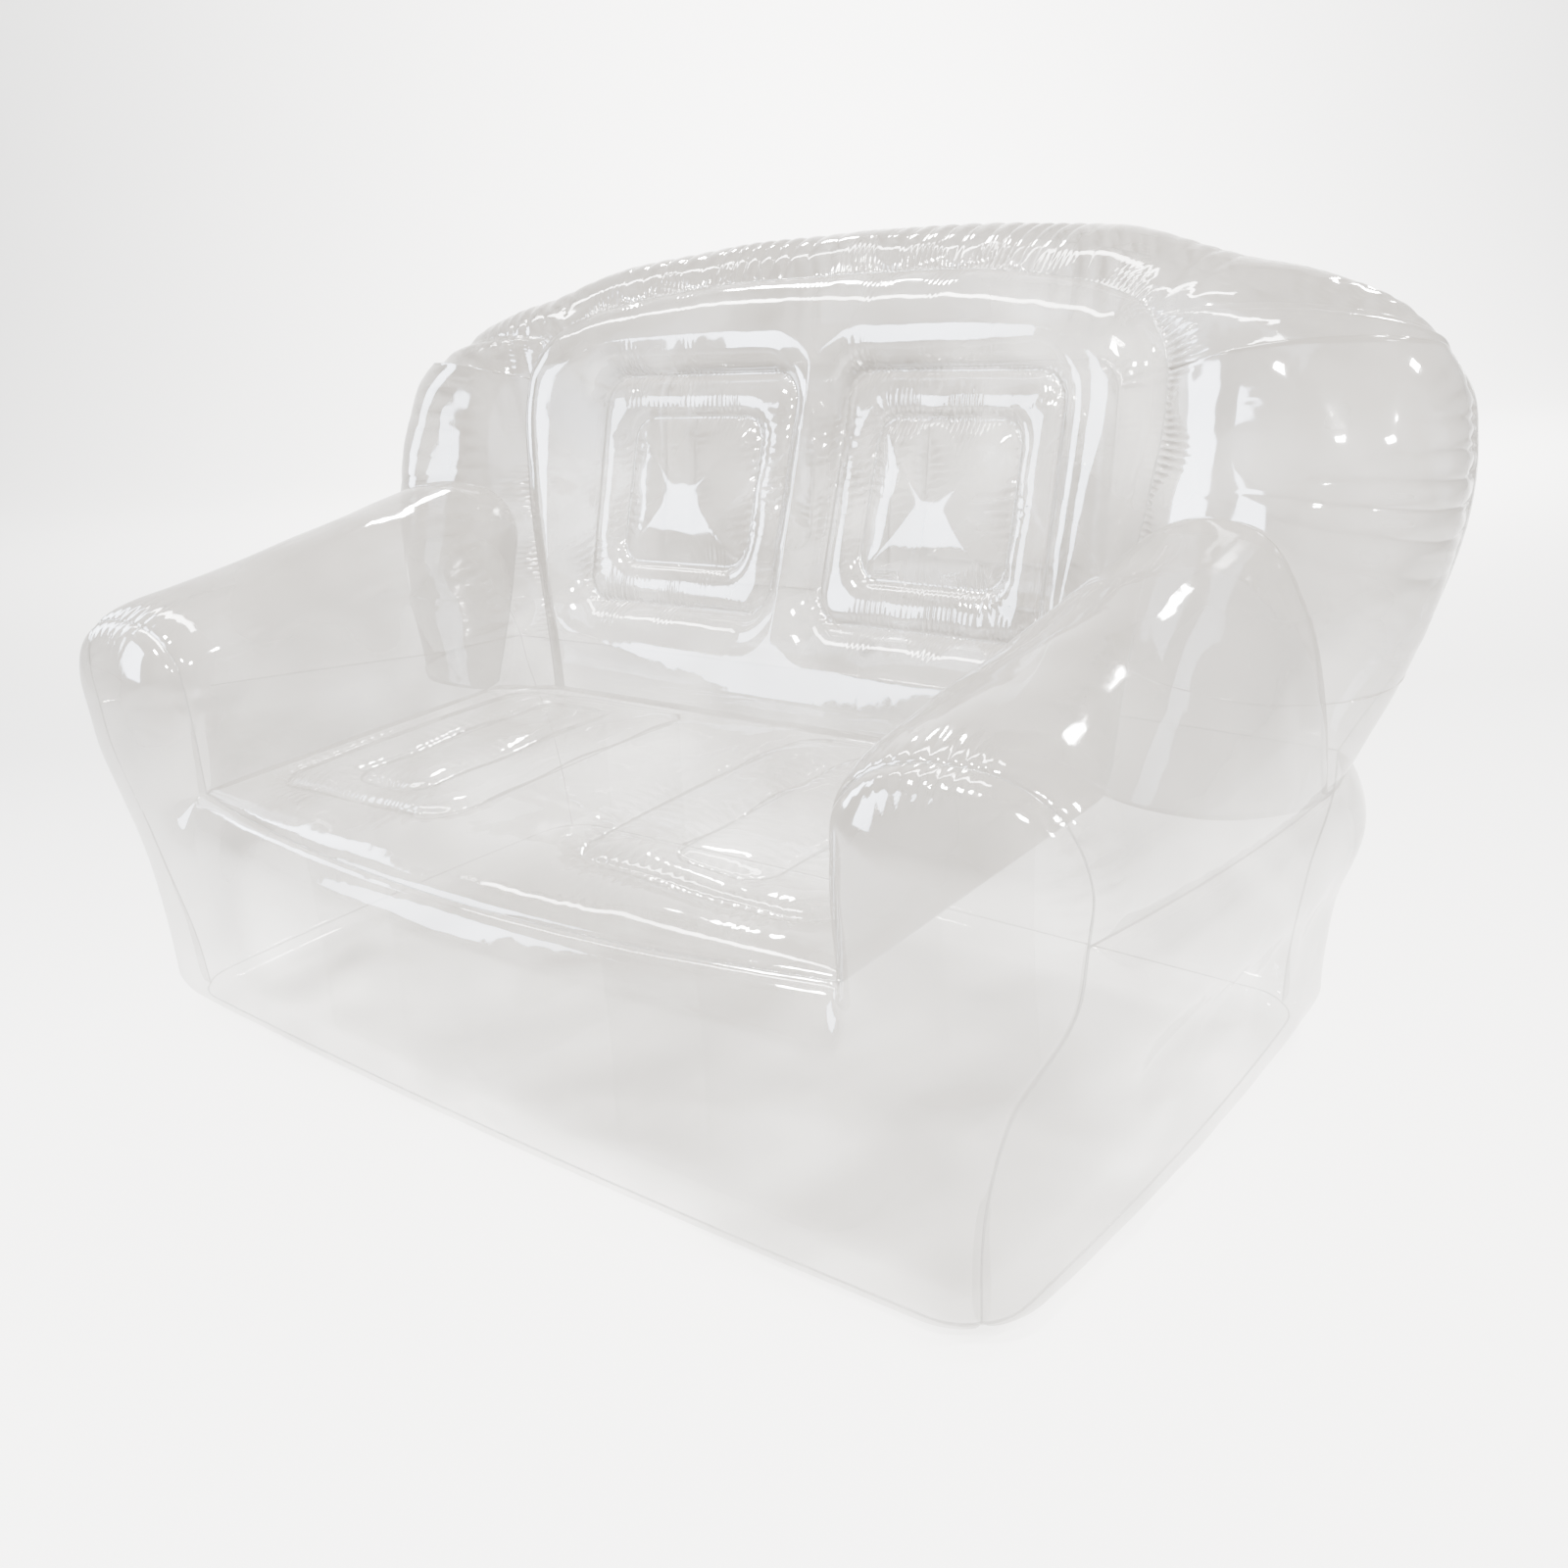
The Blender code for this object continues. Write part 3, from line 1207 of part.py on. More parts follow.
def add_panels(collection, film):
    """Every panel of film, and the surfaces that the pieces inside reach to."""
    face, rear = face_grid(), rear_grid()
    wing = inset(wing_grid(face, rear))
    back_rear, back_frame = back_panel_grid()
    base_rear, base_frame = base_panel_grid()
    side = inset(side_grid())
    deck = inset(deck_grid(), start=False)
    deck[..., 2] -= LAP
    front, rear_dir, up = (0.0, -1.0, 0.0), (0.0, 1.0, 0.0), (0.0, 0.0, 1.0)
    made = {}
    made["floor_panel"] = panel("floor_panel", [inset(floor_grid())], (0.0, 0.0, -1.0), collection, film)
    made["front_panel"] = panel("front_panel", front_grids(), front, collection, film)
    made["side_panel_right"] = panel("side_panel_right", [side], (1.0, 0.0, 0.0), collection, film)
    made["side_panel_left"] = panel("side_panel_left", [flipped(side)], (-1.0, 0.0, 0.0), collection, film)
    made["base_rear_panel"] = panel("base_rear_panel", [inset(base_rear)], rear_dir, collection, film)
    made["seat_top_sheet"] = panel("seat_top_sheet", [inset(seat_grid())], up, collection, film)
    made["deck_sheet"] = panel("deck_sheet", [deck, flipped(deck)], up, collection, film)
    made["back_wing_sheet"] = panel("back_wing_sheet", [wing], front, collection, film)
    made["back_face_panel"] = panel("back_face_panel", [inset(quilted_face())], front, collection, film)
    made["back_rear_panel"] = panel("back_rear_panel", [inset(back_rear)], rear_dir, collection, film)
    arm = inset(arm_grid(made["back_wing_sheet"][1]), high=False)
    made["arm_sheet_right"] = panel("arm_sheet_right", [arm], up, collection, film)
    made["arm_sheet_left"] = panel("arm_sheet_left", [flipped(arm)], up, collection, film)
    return made, base_frame, back_frame


def add_rings(made, collection, strip):
    seat = made["seat_top_sheet"][1]
    face, rear = made["back_face_panel"][1], made["back_rear_panel"][1]
    rings = []
    for word, side in (("right", 1.0), ("left", -1.0)):
        for kind, seat_shape, back_shape in (
            ("outer", SEAT_RING_OUTER, BACK_RING_OUTER),
            ("inner", SEAT_RING_INNER, BACK_RING_INNER),
        ):
            rings.append(seat_ring(f"seat_ring_{kind}_{word}", seat_shape, side, seat, collection, strip))
            name = f"back_ring_{kind}_{word}"
            rings.append(back_ring(name, back_shape, side, face, rear, collection, strip))
    return rings


def middle_depth(objects):
    """Half way between the front-most and the rear-most film."""
    depths = [vertex.co.y for obj in objects for vertex in obj.data.vertices]
    return (min(depths) + max(depths)) / 2


def main():
    reset_scene()
    collection = make_collection("inflatable_chair")
    cutters = make_collection("cutters")
    film = make_material("clear_film", (0.93, 0.94, 0.95), 0.08, 0.25)
    strip = make_material("tie_strip", (0.90, 0.91, 0.92), 0.15, 0.25)
    valve = make_material("clear_valve", (0.88, 0.90, 0.91), 0.20, 0.60)
    made, base_frame, back_frame = add_panels(collection, film)
    panels = [obj for obj, _ in made.values()]
    rings = add_rings(made, collection, strip)
    valves = [
        add_valve("base", made["base_rear_panel"][0], base_frame, collection, cutters, valve),
        add_valve("back", made["back_rear_panel"][0], back_frame, collection, cutters, valve),
    ]
    chair = bpy.data.objects.new("chair", None)
    collection.objects.link(chair)
    for obj in panels + rings + valves:
        obj.parent = chair
    chair.location.y = -middle_depth(panels)


main()
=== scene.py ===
"""Clear inflatable two-seat chair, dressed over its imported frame.

The film panels are drawn again from the sizes of the frame's own panels, in finer sheets with the
folds that welds leave. The weld lines, tie strips and valves are pieces of their own.
"""

import math
from functools import cache

import bmesh
import bpy
import numpy as np
from mathutils import Matrix, Vector
from mathutils.bvhtree import BVHTree
from mathutils.kdtree import KDTree


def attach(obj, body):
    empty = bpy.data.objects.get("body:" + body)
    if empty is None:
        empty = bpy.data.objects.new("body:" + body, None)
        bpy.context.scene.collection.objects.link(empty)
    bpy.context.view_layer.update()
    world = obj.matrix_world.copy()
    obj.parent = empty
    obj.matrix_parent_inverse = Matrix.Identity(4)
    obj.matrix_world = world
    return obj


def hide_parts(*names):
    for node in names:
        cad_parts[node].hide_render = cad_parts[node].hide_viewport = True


bl_info = {
    "name": "Inflatable Two-Seat Chair",
    "version": (1, 0, 0),
    "blender": (4, 5, 0),
    "location": "View3D > Sidebar > Chair",
    "description": "Builds a clear inflatable love seat piece by piece, with its stage",
    "category": "Add Mesh",
}

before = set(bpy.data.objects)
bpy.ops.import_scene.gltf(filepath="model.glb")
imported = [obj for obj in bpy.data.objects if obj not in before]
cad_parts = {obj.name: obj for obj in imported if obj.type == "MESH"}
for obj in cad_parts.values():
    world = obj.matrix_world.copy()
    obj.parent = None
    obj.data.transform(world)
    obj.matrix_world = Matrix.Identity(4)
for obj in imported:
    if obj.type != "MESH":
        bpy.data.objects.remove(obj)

# Where the sheets stand in the frame: it is centred on its box
CHAIR_SHIFT = np.array([0.0, 0.004996, 0.0])

# The photo's camera
CAMERA_BACK = Vector((0.6091, -0.7219, 0.3286))
CAMERA_UP = Vector((-0.1557, 0.2974, 0.9421))
CAMERA_FOCAL_PIXELS = 1502.0
PHOTO_PIXELS = 1600.0
SENSOR_WIDTH = 36.0

# Where each valve's flange is welded to its panel, in the frame
VALVES = {
    "base": {"centre": (0.0, 0.38917, 0.22244), "out": (0.0, 0.99762, 0.06902)},
    "back": {"centre": (0.0, 0.36091, 0.39535), "out": (0.0, 0.9401, -0.34089)},
}
VALVE_FLAT = 0.018
VALVE_EASE = 0.05
VALVE_HOLE = 0.009

# The fuller dome inside each window, and how much of a window's pillow it starts with
WINDOW_DOME = 0.019
WINDOW_DOME_REACH = 0.10
WINDOW_STEP_SHARE = 0.35

# Folds and welds
LINE_STEP = 0.0015
BEAD_STEP = 0.006
BEAD_SIDES = 6
STRIP_ROWS = 8
FOLD_END = 5
SLACK_WAVES = 6
SLACK_WAVE_SHARES = (0.6, 1.7)
SEAT_RING_FOLD_SHARES = (0.5, 1.5, 2.0)

# A way that no seam runs, and how level a loop of weld has to be to draw in sideways only
BEAD_SKEW = (0.13, 0.21, 0.97)
LEVEL_LOOP = 0.05

# Axes of the frame
DEPTH = 1
UP = 2

# Film and seams
FILM = 0.00035
LAP = 0.0013
ARM_TO_WING_GAP = 0.0016
MERGE = 0.00005

# Base
SEAT_HALF_WIDTH = 0.504
FLOOR_OUTSET = 0.1405
FLOOR_HALF_WIDTH = SEAT_HALF_WIDTH + FLOOR_OUTSET
FLOOR_FRONT_Y = -0.390
FLOOR_REAR_Y = 0.339
FLOOR_SEAM_Z = 0.022
FLOOR_CURL = 0.11
EDGE_BOW = 0.014
CORNER_ROUND = 0.060
CORNER_RISE = 0.26
FRONT_BOW = 0.046
FRONT_CROWN = 0.042
FRONT_CROWN_REACH = 0.10
SIDE_CROWN = 0.041
REAR_CROWN = 0.045
WALL_CROWN_REACH = 0.11

# Seat
SEAT_FRONT_Y = -0.388
SEAT_SEAM_Z = 0.3285
SEAT_RISE = 0.01
SEAT_REAR_Z = SEAT_SEAM_Z + SEAT_RISE
SEAT_CROWN = 0.022
SEAT_PILLOW = 0.012
SEAT_PILLOW_REACH = 0.045
SEAT_SAG = 0.008

# Arms
ARM_WIDTH = 0.234
ARM_OUTER_X = SEAT_HALF_WIDTH + ARM_WIDTH
ARM_FRONT_Y = -0.385
ARM_HEIGHT_FRONT = 0.2135
ARM_HEIGHT_REAR = 0.306
ARM_TOP_FRONT_Z = SEAT_SEAM_Z + ARM_HEIGHT_FRONT
ARM_TOP_REAR_Z = SEAT_SEAM_Z + ARM_HEIGHT_REAR
WAIST_HEIGHT = 0.0904
WAIST_FRONT_Z = SEAT_SEAM_Z + WAIST_HEIGHT
WAIST_REAR_OUTSET = 0.214
WAIST_REAR_X = SEAT_HALF_WIDTH + WAIST_REAR_OUTSET
WAIST_BOW = 0.011
ARM_CROWN = 0.0147
ARM_CROWN_REACH = 0.06

# Back
DECK_RISE = 0.02
DECK_REAR_Z = SEAT_REAR_Z + DECK_RISE
BACK_REAR_OUTSET = 0.177
BACK_REAR_HALF_WIDTH = SEAT_HALF_WIDTH + BACK_REAR_OUTSET
FOOT_INSET = 0.094
FOOT_X = SEAT_HALF_WIDTH - FOOT_INSET
FOOT_Y = 0.15
FACE_TOP_Y = 0.3525
FACE_SIDE_INSET = 0.004
FACE_SIDE_X = SEAT_HALF_WIDTH - FACE_SIDE_INSET
FACE_SIDE_NARROWING = 0.008
FACE_TOP_Z = 0.895
FACE_ARCH = 0.0335
FACE_ROUND = 0.099
FACE_WRAP = 0.08
FACE_PILLOW = 0.048
FACE_PILLOW_REACH = 0.062
WINDOW_PILLOW = 0.016
WINDOW_PILLOW_REACH = 0.0275
REAR_FOOT_Y = 0.33
REAR_TOP_Y = 0.443
REAR_SIDE_OUTSET = 0.29
REAR_SIDE_X = SEAT_HALF_WIDTH + REAR_SIDE_OUTSET
REAR_ROUND = 0.1115
SHOULDER_OUTSET = 0.104
SHOULDER_X = SEAT_HALF_WIDTH + SHOULDER_OUTSET
CROWN_INSET = 0.1065
CROWN_X = SEAT_HALF_WIDTH - CROWN_INSET
REAR_TOP_RISE = 0.034
REAR_TOP_Z = FACE_TOP_Z + REAR_TOP_RISE
WING_TOP_DROP = 0.1175
WING_TOP_Z = REAR_TOP_Z - WING_TOP_DROP
SHOULDER_DROP = 0.099
SHOULDER_Z = REAR_TOP_Z - SHOULDER_DROP
CROWN_DROP = 0.037
CROWN_Z = REAR_TOP_Z - CROWN_DROP
CROWN_EASE = 0.006
REAR_FOOT_WRAP = 0.03
REAR_TOP_WRAP = 0.094
REAR_PILLOW = 0.022
REAR_PILLOW_REACH = 0.06
WING_BULGE_FOOT = 0.1787
WING_BULGE_SIDE = 0.135
WING_BULGE_CORNER = 0.0505
WING_BULGE_TOP = 0.031

# Tie rings: each place has an outer ring, and an inner one a step inside it
SEAT_RING_FROM_MIDDLE = 0.10
SEAT_RING_FROM_SIDE = 0.064
SEAT_RING_FROM_FRONT = 0.055
SEAT_RING_FROM_BACK = 0.05
SEAT_RING_SIDE_STEP = 0.105
SEAT_RING_END_STEP = 0.0475
SEAT_RING_ROUND = 0.05
SEAT_RING_INNER_ROUND = 0.03
BACK_RING_FROM_MIDDLE = 0.039
BACK_RING_FROM_SIDE = 0.13
BACK_RING_FROM_SEAT = 0.134
BACK_RING_FROM_TOP = 0.117
BACK_RING_STEP = 0.0555
BACK_RING_ROUND = 0.04
BACK_RING_INNER_ROUND = 0.028
RING_CORNER_STEPS = 12
RING_SIDE_STEP = 0.012

# Shapes of the seams, as shares of the sizes above
SIDE_SEAM_UP_SHARES = (0.0, 0.30, 0.55, 0.88, 1.0)
SIDE_SEAM_OUT_SHARES = (0.0, 0.04, 0.25, 0.93, 1.0)
ARCH_OUTER_ACROSS_SHARES = (0.0, -0.015, 0.07, 0.26, 0.50)
ARCH_OUTER_UP_SHARES = (0.0, 0.38, 0.74, 0.955, 1.0)
ARCH_INNER_ACROSS_SHARES = (0.69, 0.87, 0.97, 1.0, 1.0)
ARCH_INNER_UP_SHARES = (0.975, 0.89, 0.77, 0.55, 0.0)
WING_CHORD_SHARES = (0.0, 0.114, 0.282, 0.52, 0.774, 0.941, 1.0)
WING_BULGE_SHARES = (0.0, 0.33, 0.71, 0.97, 0.92, 0.58, 0.0)
WING_SIDE_SHARE = 0.55
INNER_EDGE_SHARE = 0.62
FACE_ARCH_SHARES = (0.5, 0.22)
CORNER_SIDE_SHARES = (0.0, 0.25, 0.5)
CORNER_TOP_SHARES = (0.88, 0.7, 0.5)
REAR_MIDDLE_SHARE = 0.5
REAR_MIDDLE_OUT_SHARE = 0.79
CROWN_EASE_SHARE = 0.55
PROBE_SHARES = (0.25, 0.5, 0.75)

# Fineness of the film surfaces, in cells
WALL_CELLS = 48
RIM_CELLS = 12
FLOOR_CELLS = 40
LOBE_CELLS = 60
BACK_RIM_CELLS = 24
ARM_LENGTH_CELLS = 64
WING_SECTION_CELLS = (8, 8, 32, 24)
BACK_ACROSS_CELLS = (8, 12, 48, 12)
BACK_UP_CELLS = (12, 42, 12)
SEAT_ACROSS_CELLS = (20, 21, 26, 15, 6, 12)
SEAT_LEAD_CELLS = 18
SEAT_MIDDLE_CELLS = (10, 66)
SEAT_TRAIL_CELLS = 18
DECK_CELLS = 12
FRONT_CELLS = 64
REAR_COLUMNS = 241
SECTION_SAMPLES = 2001
SEAT_SEAM_POINTS = 160
REAR_SEAM_POINTS = 120
DRAW_BACK_PASSES = 2
ROUNDING = 1e-9

# Floor and backdrop
FLOOR_NEAR = -14.0
FLOOR_BEND = 6.0
FLOOR_HALF_SPAN = 16.0
FLOOR_DROP = 0.002
BACKDROP_RADIUS = 4.0
BACKDROP_TOP = 12.0
BACKDROP_STEPS = 16


def ring_edges(near, far, low, high, corner):
    """A ring of weld at the place at +X: a rounded rectangle between these four edges."""
    return {"near": near, "far": far, "low": low, "high": high, "round": corner}


def stepped_in(ring, across, along_, corner):
    """The ring a step inside another."""
    return ring_edges(
        ring["near"] + across, ring["far"] - across, ring["low"] + along_, ring["high"] - along_, corner
    )


SEAT_RING_OUTER = ring_edges(
    SEAT_RING_FROM_MIDDLE,
    SEAT_HALF_WIDTH - SEAT_RING_FROM_SIDE,
    ARM_FRONT_Y + SEAT_RING_FROM_FRONT,
    FOOT_Y - SEAT_RING_FROM_BACK,
    SEAT_RING_ROUND,
)
SEAT_RING_INNER = stepped_in(SEAT_RING_OUTER, SEAT_RING_SIDE_STEP, SEAT_RING_END_STEP, SEAT_RING_INNER_ROUND)
BACK_RING_OUTER = ring_edges(
    BACK_RING_FROM_MIDDLE,
    FACE_SIDE_X - BACK_RING_FROM_SIDE,
    SEAT_REAR_Z + BACK_RING_FROM_SEAT,
    FACE_TOP_Z - BACK_RING_FROM_TOP,
    BACK_RING_ROUND,
)
BACK_RING_INNER = stepped_in(BACK_RING_OUTER, BACK_RING_STEP, BACK_RING_STEP, BACK_RING_INNER_ROUND)


# Curves and stations


def smooth(at, knots, values):
    """The smooth curve through the values at the knots, read at each place in at."""
    at = np.asarray(at, float)
    knots = np.asarray(knots, float)
    values = np.asarray(values, float)
    slopes = np.gradient(values, knots, axis=0)
    index = np.clip(np.searchsorted(knots, at) - 1, 0, len(knots) - 2)
    step = knots[index + 1] - knots[index]
    share = (at - knots[index]) / step
    if values.ndim > 1:
        step, share = step[..., None], share[..., None]
    near = (1 + 2 * share) * (1 - share) ** 2 * values[index]
    far = share**2 * (3 - 2 * share) * values[index + 1]
    near_slope = share * (1 - share) ** 2 * step * slopes[index]
    far_slope = share**2 * (share - 1) * step * slopes[index + 1]
    return near + far + near_slope + far_slope


def run_lengths(line):
    """How far along a line each of its points lies."""
    return np.concatenate([[0.0], np.cumsum(np.linalg.norm(np.diff(line, axis=0), axis=1))])


def resampled(line, step):
    """Points at even steps along a line, and how far along it each lies."""
    runs = run_lengths(line)
    places = np.linspace(0.0, runs[-1], max(2, int(runs[-1] / step)))
    return np.stack([np.interp(places, runs, line[:, axis]) for axis in range(3)], axis=-1), places


def along(points, shares):
    """Points at these shares of the length of the smooth curve through the given points."""
    points = np.asarray(points, float)
    knots = run_lengths(points)
    return smooth(np.asarray(shares) * knots[-1], knots, points)


def even(cells):
    return np.linspace(0.0, 1.0, cells + 1)


def eased(cells):
    """Shares from 0 to 1 that crowd towards both ends, where film turns into a seam."""
    return 0.5 - 0.5 * np.cos(np.pi * even(cells))


def stations(breaks, cells):
    """Values that run through the breaks, with a number of cells between each two."""
    runs = [np.linspace(a, b, n + 1)[:-1] for a, b, n in zip(breaks, breaks[1:], cells)]
    return np.concatenate([*runs, [breaks[-1]]])


def mirrored(values):
    """Values from 0 up, repeated below 0."""
    return np.concatenate([-values[:0:-1], values])


def mix(a, b, share):
    return a + (b - a) * share


def unit(vectors):
    return vectors / np.linalg.norm(vectors, axis=-1, keepdims=True)


def flipped(grid):
    """The same points on the other side of the chair."""
    return grid * (-1.0, 1.0, 1.0)


def hump(share):
    """A bow between two ends: 0 at shares 0 and 1, and 1 halfway."""
    return 1.0 - (2.0 * share - 1.0) ** 2


# How air bows a panel out between its welds


def bulge(distance, height, reach):
    """A quarter ellipse: upright at the weld, and level at the reach."""
    share = np.clip(distance / reach, 0.0, 1.0)
    return height * np.sqrt(1.0 - (1.0 - share) ** 2)


def distance_to_line(points, line):
    """Distance from each point to a line of straight pieces."""
    best = np.full(points.shape[:-1], np.inf)
    for start, end in zip(line, line[1:]):
        run = end - start
        share = np.clip((points - start) @ run / max(run @ run, FILM**2), 0.0, 1.0)
        away = points - start - share[..., None] * run
        best = np.minimum(best, np.einsum("...i,...i", away, away))
    return np.sqrt(best)


def distance_to_edges(grid):
    edges = (grid[0], grid[-1], grid[:, 0], grid[:, -1])
    return np.min([distance_to_line(grid, edge) for edge in edges], axis=0)


def distance_to_ring(across, along_, ring):
    """Signed distance to a rounded rectangle of the place at either side; negative inside it."""
    half_width = (ring["far"] - ring["near"]) / 2
    half_length = (ring["high"] - ring["low"]) / 2
    from_side = np.abs(np.abs(across) - (ring["far"] + ring["near"]) / 2) - half_width + ring["round"]
    from_end = np.abs(along_ - (ring["high"] + ring["low"]) / 2) - half_length + ring["round"]
    outside = np.hypot(np.maximum(from_side, 0.0), np.maximum(from_end, 0.0))
    inside = np.minimum(np.maximum(from_side, from_end), 0.0)
    return outside + inside - ring["round"]


def quilt(across, along_, edge_distance, outer, inner, heights, reaches):
    """How far film stands out between its edge and two nested rings of weld."""
    to_outer = distance_to_ring(across, along_, outer)
    to_inner = distance_to_ring(across, along_, inner)
    border = bulge(np.minimum(edge_distance, np.abs(to_outer)), heights[0], reaches[0])
    middle = bulge(np.minimum(np.abs(to_outer), np.abs(to_inner)), heights[1], reaches[1])
    return np.where(to_outer > 0.0, border, middle)


# Seams that the panels share, for the side at +X


def side_seam(low, high, shares):
    """The S-shaped seam up the corner of the base, which flares out below the waist."""
    low, high = np.array(low), np.array(high)
    out = smooth(shares, SIDE_SEAM_UP_SHARES, SIDE_SEAM_OUT_SHARES)
    depth = mix(low[1], high[1], shares)
    return np.stack([mix(low[0], high[0], out), depth, mix(low[2], high[2], shares)], axis=-1)


def base_heights():
    """Shares of the way up the front seam: the base wall, then the arm's front lobe."""
    seat_share = (SEAT_SEAM_Z - FLOOR_SEAM_Z) / (WAIST_FRONT_Z - FLOOR_SEAM_Z)
    wall = eased(WALL_CELLS) * seat_share
    lobe = mix(seat_share, 1.0, even(LOBE_CELLS))
    return wall, lobe


def front_seam():
    wall, lobe = base_heights()
    low = (FLOOR_HALF_WIDTH, FLOOR_FRONT_Y, FLOOR_SEAM_Z)
    high = (ARM_OUTER_X, ARM_FRONT_Y, WAIST_FRONT_Z)
    return side_seam(low, high, np.concatenate([wall, lobe[1:]]))


def rear_seam(shares):
    return side_seam((FLOOR_HALF_WIDTH, FLOOR_REAR_Y, FLOOR_SEAM_Z), rear_foot(), shares)


def floor_line(start, end, shares, bow):
    """A seam along the floor, bowed out between two corners."""
    shares = np.asarray(shares)[:, None]
    return mix(np.array(start), np.array(end), shares) + np.array(bow) * hump(shares)


def arch(outer_x, inner_x, waist_z, seat_z, top_z):
    """Named points of an arm's section, from the waist seam over the top to the seat seam, in x and z."""
    outer_up = [mix(waist_z, top_z, up) for up in ARCH_OUTER_UP_SHARES]
    inner_up = [mix(seat_z, top_z, up) for up in ARCH_INNER_UP_SHARES]
    across = [*ARCH_OUTER_ACROSS_SHARES, *ARCH_INNER_ACROSS_SHARES]
    return np.array([[mix(outer_x, inner_x, a), z] for a, z in zip(across, outer_up + inner_up)])


def arch_shares():
    """Where the samples of an arm's section lie: over the top, then down the inner edge."""
    over = even(2 * LOBE_CELLS) * INNER_EDGE_SHARE
    down = mix(INNER_EDGE_SHARE, 1.0, even(LOBE_CELLS))
    return np.concatenate([over, down[1:]])


def arm_front():
    section = arch(ARM_OUTER_X, SEAT_HALF_WIDTH, WAIST_FRONT_Z, SEAT_SEAM_Z, ARM_TOP_FRONT_Z)
    line = along(section, arch_shares())
    return np.stack([line[:, 0], np.full(len(line), ARM_FRONT_Y), line[:, 1]], axis=-1)


def seat_front(x):
    """The seam between the seat and the front panel: bowed forward, and a little slack."""
    share = 1.0 - (np.asarray(x) / SEAT_HALF_WIDTH) ** 2
    start = ARM_FRONT_Y
    y = start - (start - SEAT_FRONT_Y + FRONT_BOW) * share
    return np.stack([np.asarray(x, float), y, SEAT_SEAM_Z - SEAT_SAG * share], axis=-1)


# The back's two faces, as depth over width and height


def face_y(x, z):
    """The face of the back before the air bows it: leaning, and wrapped forward at its sides."""
    up = (z - SEAT_REAR_Z) / (FACE_TOP_Z - SEAT_REAR_Z)
    return mix(FOOT_Y, FACE_TOP_Y, up) - FACE_WRAP * up * (x / FACE_SIDE_X) ** 2


def rear_y(x, z):
    up = (z - DECK_REAR_Z) / (REAR_TOP_Z - DECK_REAR_Z)
    wrap = mix(REAR_FOOT_WRAP, REAR_TOP_WRAP, up)
    return mix(REAR_FOOT_Y, REAR_TOP_Y, up) - wrap * (x / REAR_SIDE_X) ** 2


def deck_rear(x):
    """The seam where the deck sheet meets the rear panels of the base and the back."""
    return np.stack([x, rear_y(x, DECK_REAR_Z), np.full(len(x), DECK_REAR_Z)], axis=-1)


def rear_foot():
    """The end of that seam, where the side panel and the wing come to it too."""
    return deck_rear(np.array([BACK_REAR_HALF_WIDTH]))[0]


def round_corner(side_x, top_z, radius, shares):
    """Points of a face's round top corner, from its side at share 0 to its top at share 1."""
    angles = math.pi / 2 * np.asarray(shares)
    return [(side_x - radius * (1 - math.cos(a)), top_z - radius * (1 - math.sin(a))) for a in angles]


def back_spans():
    """Stations across and up one half of the back: true to the rings, and shares of the rim outside them."""
    outer, inner = BACK_RING_OUTER, BACK_RING_INNER
    across = stations([0.0, outer["near"], inner["near"], inner["far"], outer["far"]], BACK_ACROSS_CELLS)
    up = stations([outer["low"], inner["low"], inner["high"], outer["high"]], BACK_UP_CELLS)
    return across, up, eased(BACK_RIM_CELLS)


def back_half(foot_z, side_knots, top_knots):
    """Width and height at each point of a face's half at +X: a rim stretched round the rings' area."""
    across, up, rim = back_spans()
    side_x, side_z = np.array(side_knots).T
    top_x, top_z = np.array(top_knots).T
    low = mix(foot_z, up[0], rim[:-1])
    height = np.concatenate([low, up])
    middle = np.stack(np.broadcast_arrays(across[None, :], height[:, None]), axis=-1)
    reach = smooth(height, side_z, side_x)[:, None]
    beside = np.stack(np.broadcast_arrays(mix(across[-1], reach, rim[None, 1:]), height[:, None]), axis=-1)
    rise = mix(up[-1], smooth(across, top_x, top_z)[None, :], rim[1:, None])
    above = np.stack(np.broadcast_arrays(across[None, :], rise), axis=-1)
    end_z = mix(up[-1], side_z[-1], rim)
    high_x = mix(across[-1], top_x[-1], rim)
    end = np.stack([smooth(end_z, side_z, side_x), end_z], axis=-1)
    high = np.stack([high_x, smooth(high_x, top_x, top_z)], axis=-1)
    start = np.stack([np.full(len(rim), across[-1]), mix(up[-1], high[0, 1], rim)], axis=-1)
    bottom = np.stack([mix(across[-1], end[0, 0], rim), np.full(len(rim), up[-1])], axis=-1)
    corner = coons(bottom, high, start, end)[1:, 1:]
    return np.concatenate([np.hstack([middle, beside]), np.hstack([above, corner])])


def back_grid(foot_z, side_knots, top_knots, depth):
    half = back_half(foot_z, side_knots, top_knots)
    plane = np.concatenate([half[:, :0:-1] * (-1.0, 1.0), half], axis=1)
    x, z = plane[..., 0], plane[..., 1]
    return np.stack([x, depth(x, z), z], axis=-1)


def face_grid():
    mid_z = mix(SEAT_REAR_Z, FACE_TOP_Z, WING_SIDE_SHARE)
    corner_z = FACE_TOP_Z - FACE_ARCH
    side = [(FOOT_X, SEAT_REAR_Z), (FACE_SIDE_X - FACE_SIDE_NARROWING, mid_z)]
    side += round_corner(FACE_SIDE_X, corner_z, FACE_ROUND, CORNER_SIDE_SHARES)
    along_share, drop_share = FACE_ARCH_SHARES
    top = [(0.0, FACE_TOP_Z), (FACE_SIDE_X * along_share, FACE_TOP_Z - FACE_ARCH * drop_share)]
    top += round_corner(FACE_SIDE_X, corner_z, FACE_ROUND, CORNER_TOP_SHARES)
    return back_grid(SEAT_REAR_Z, side, top, face_y)


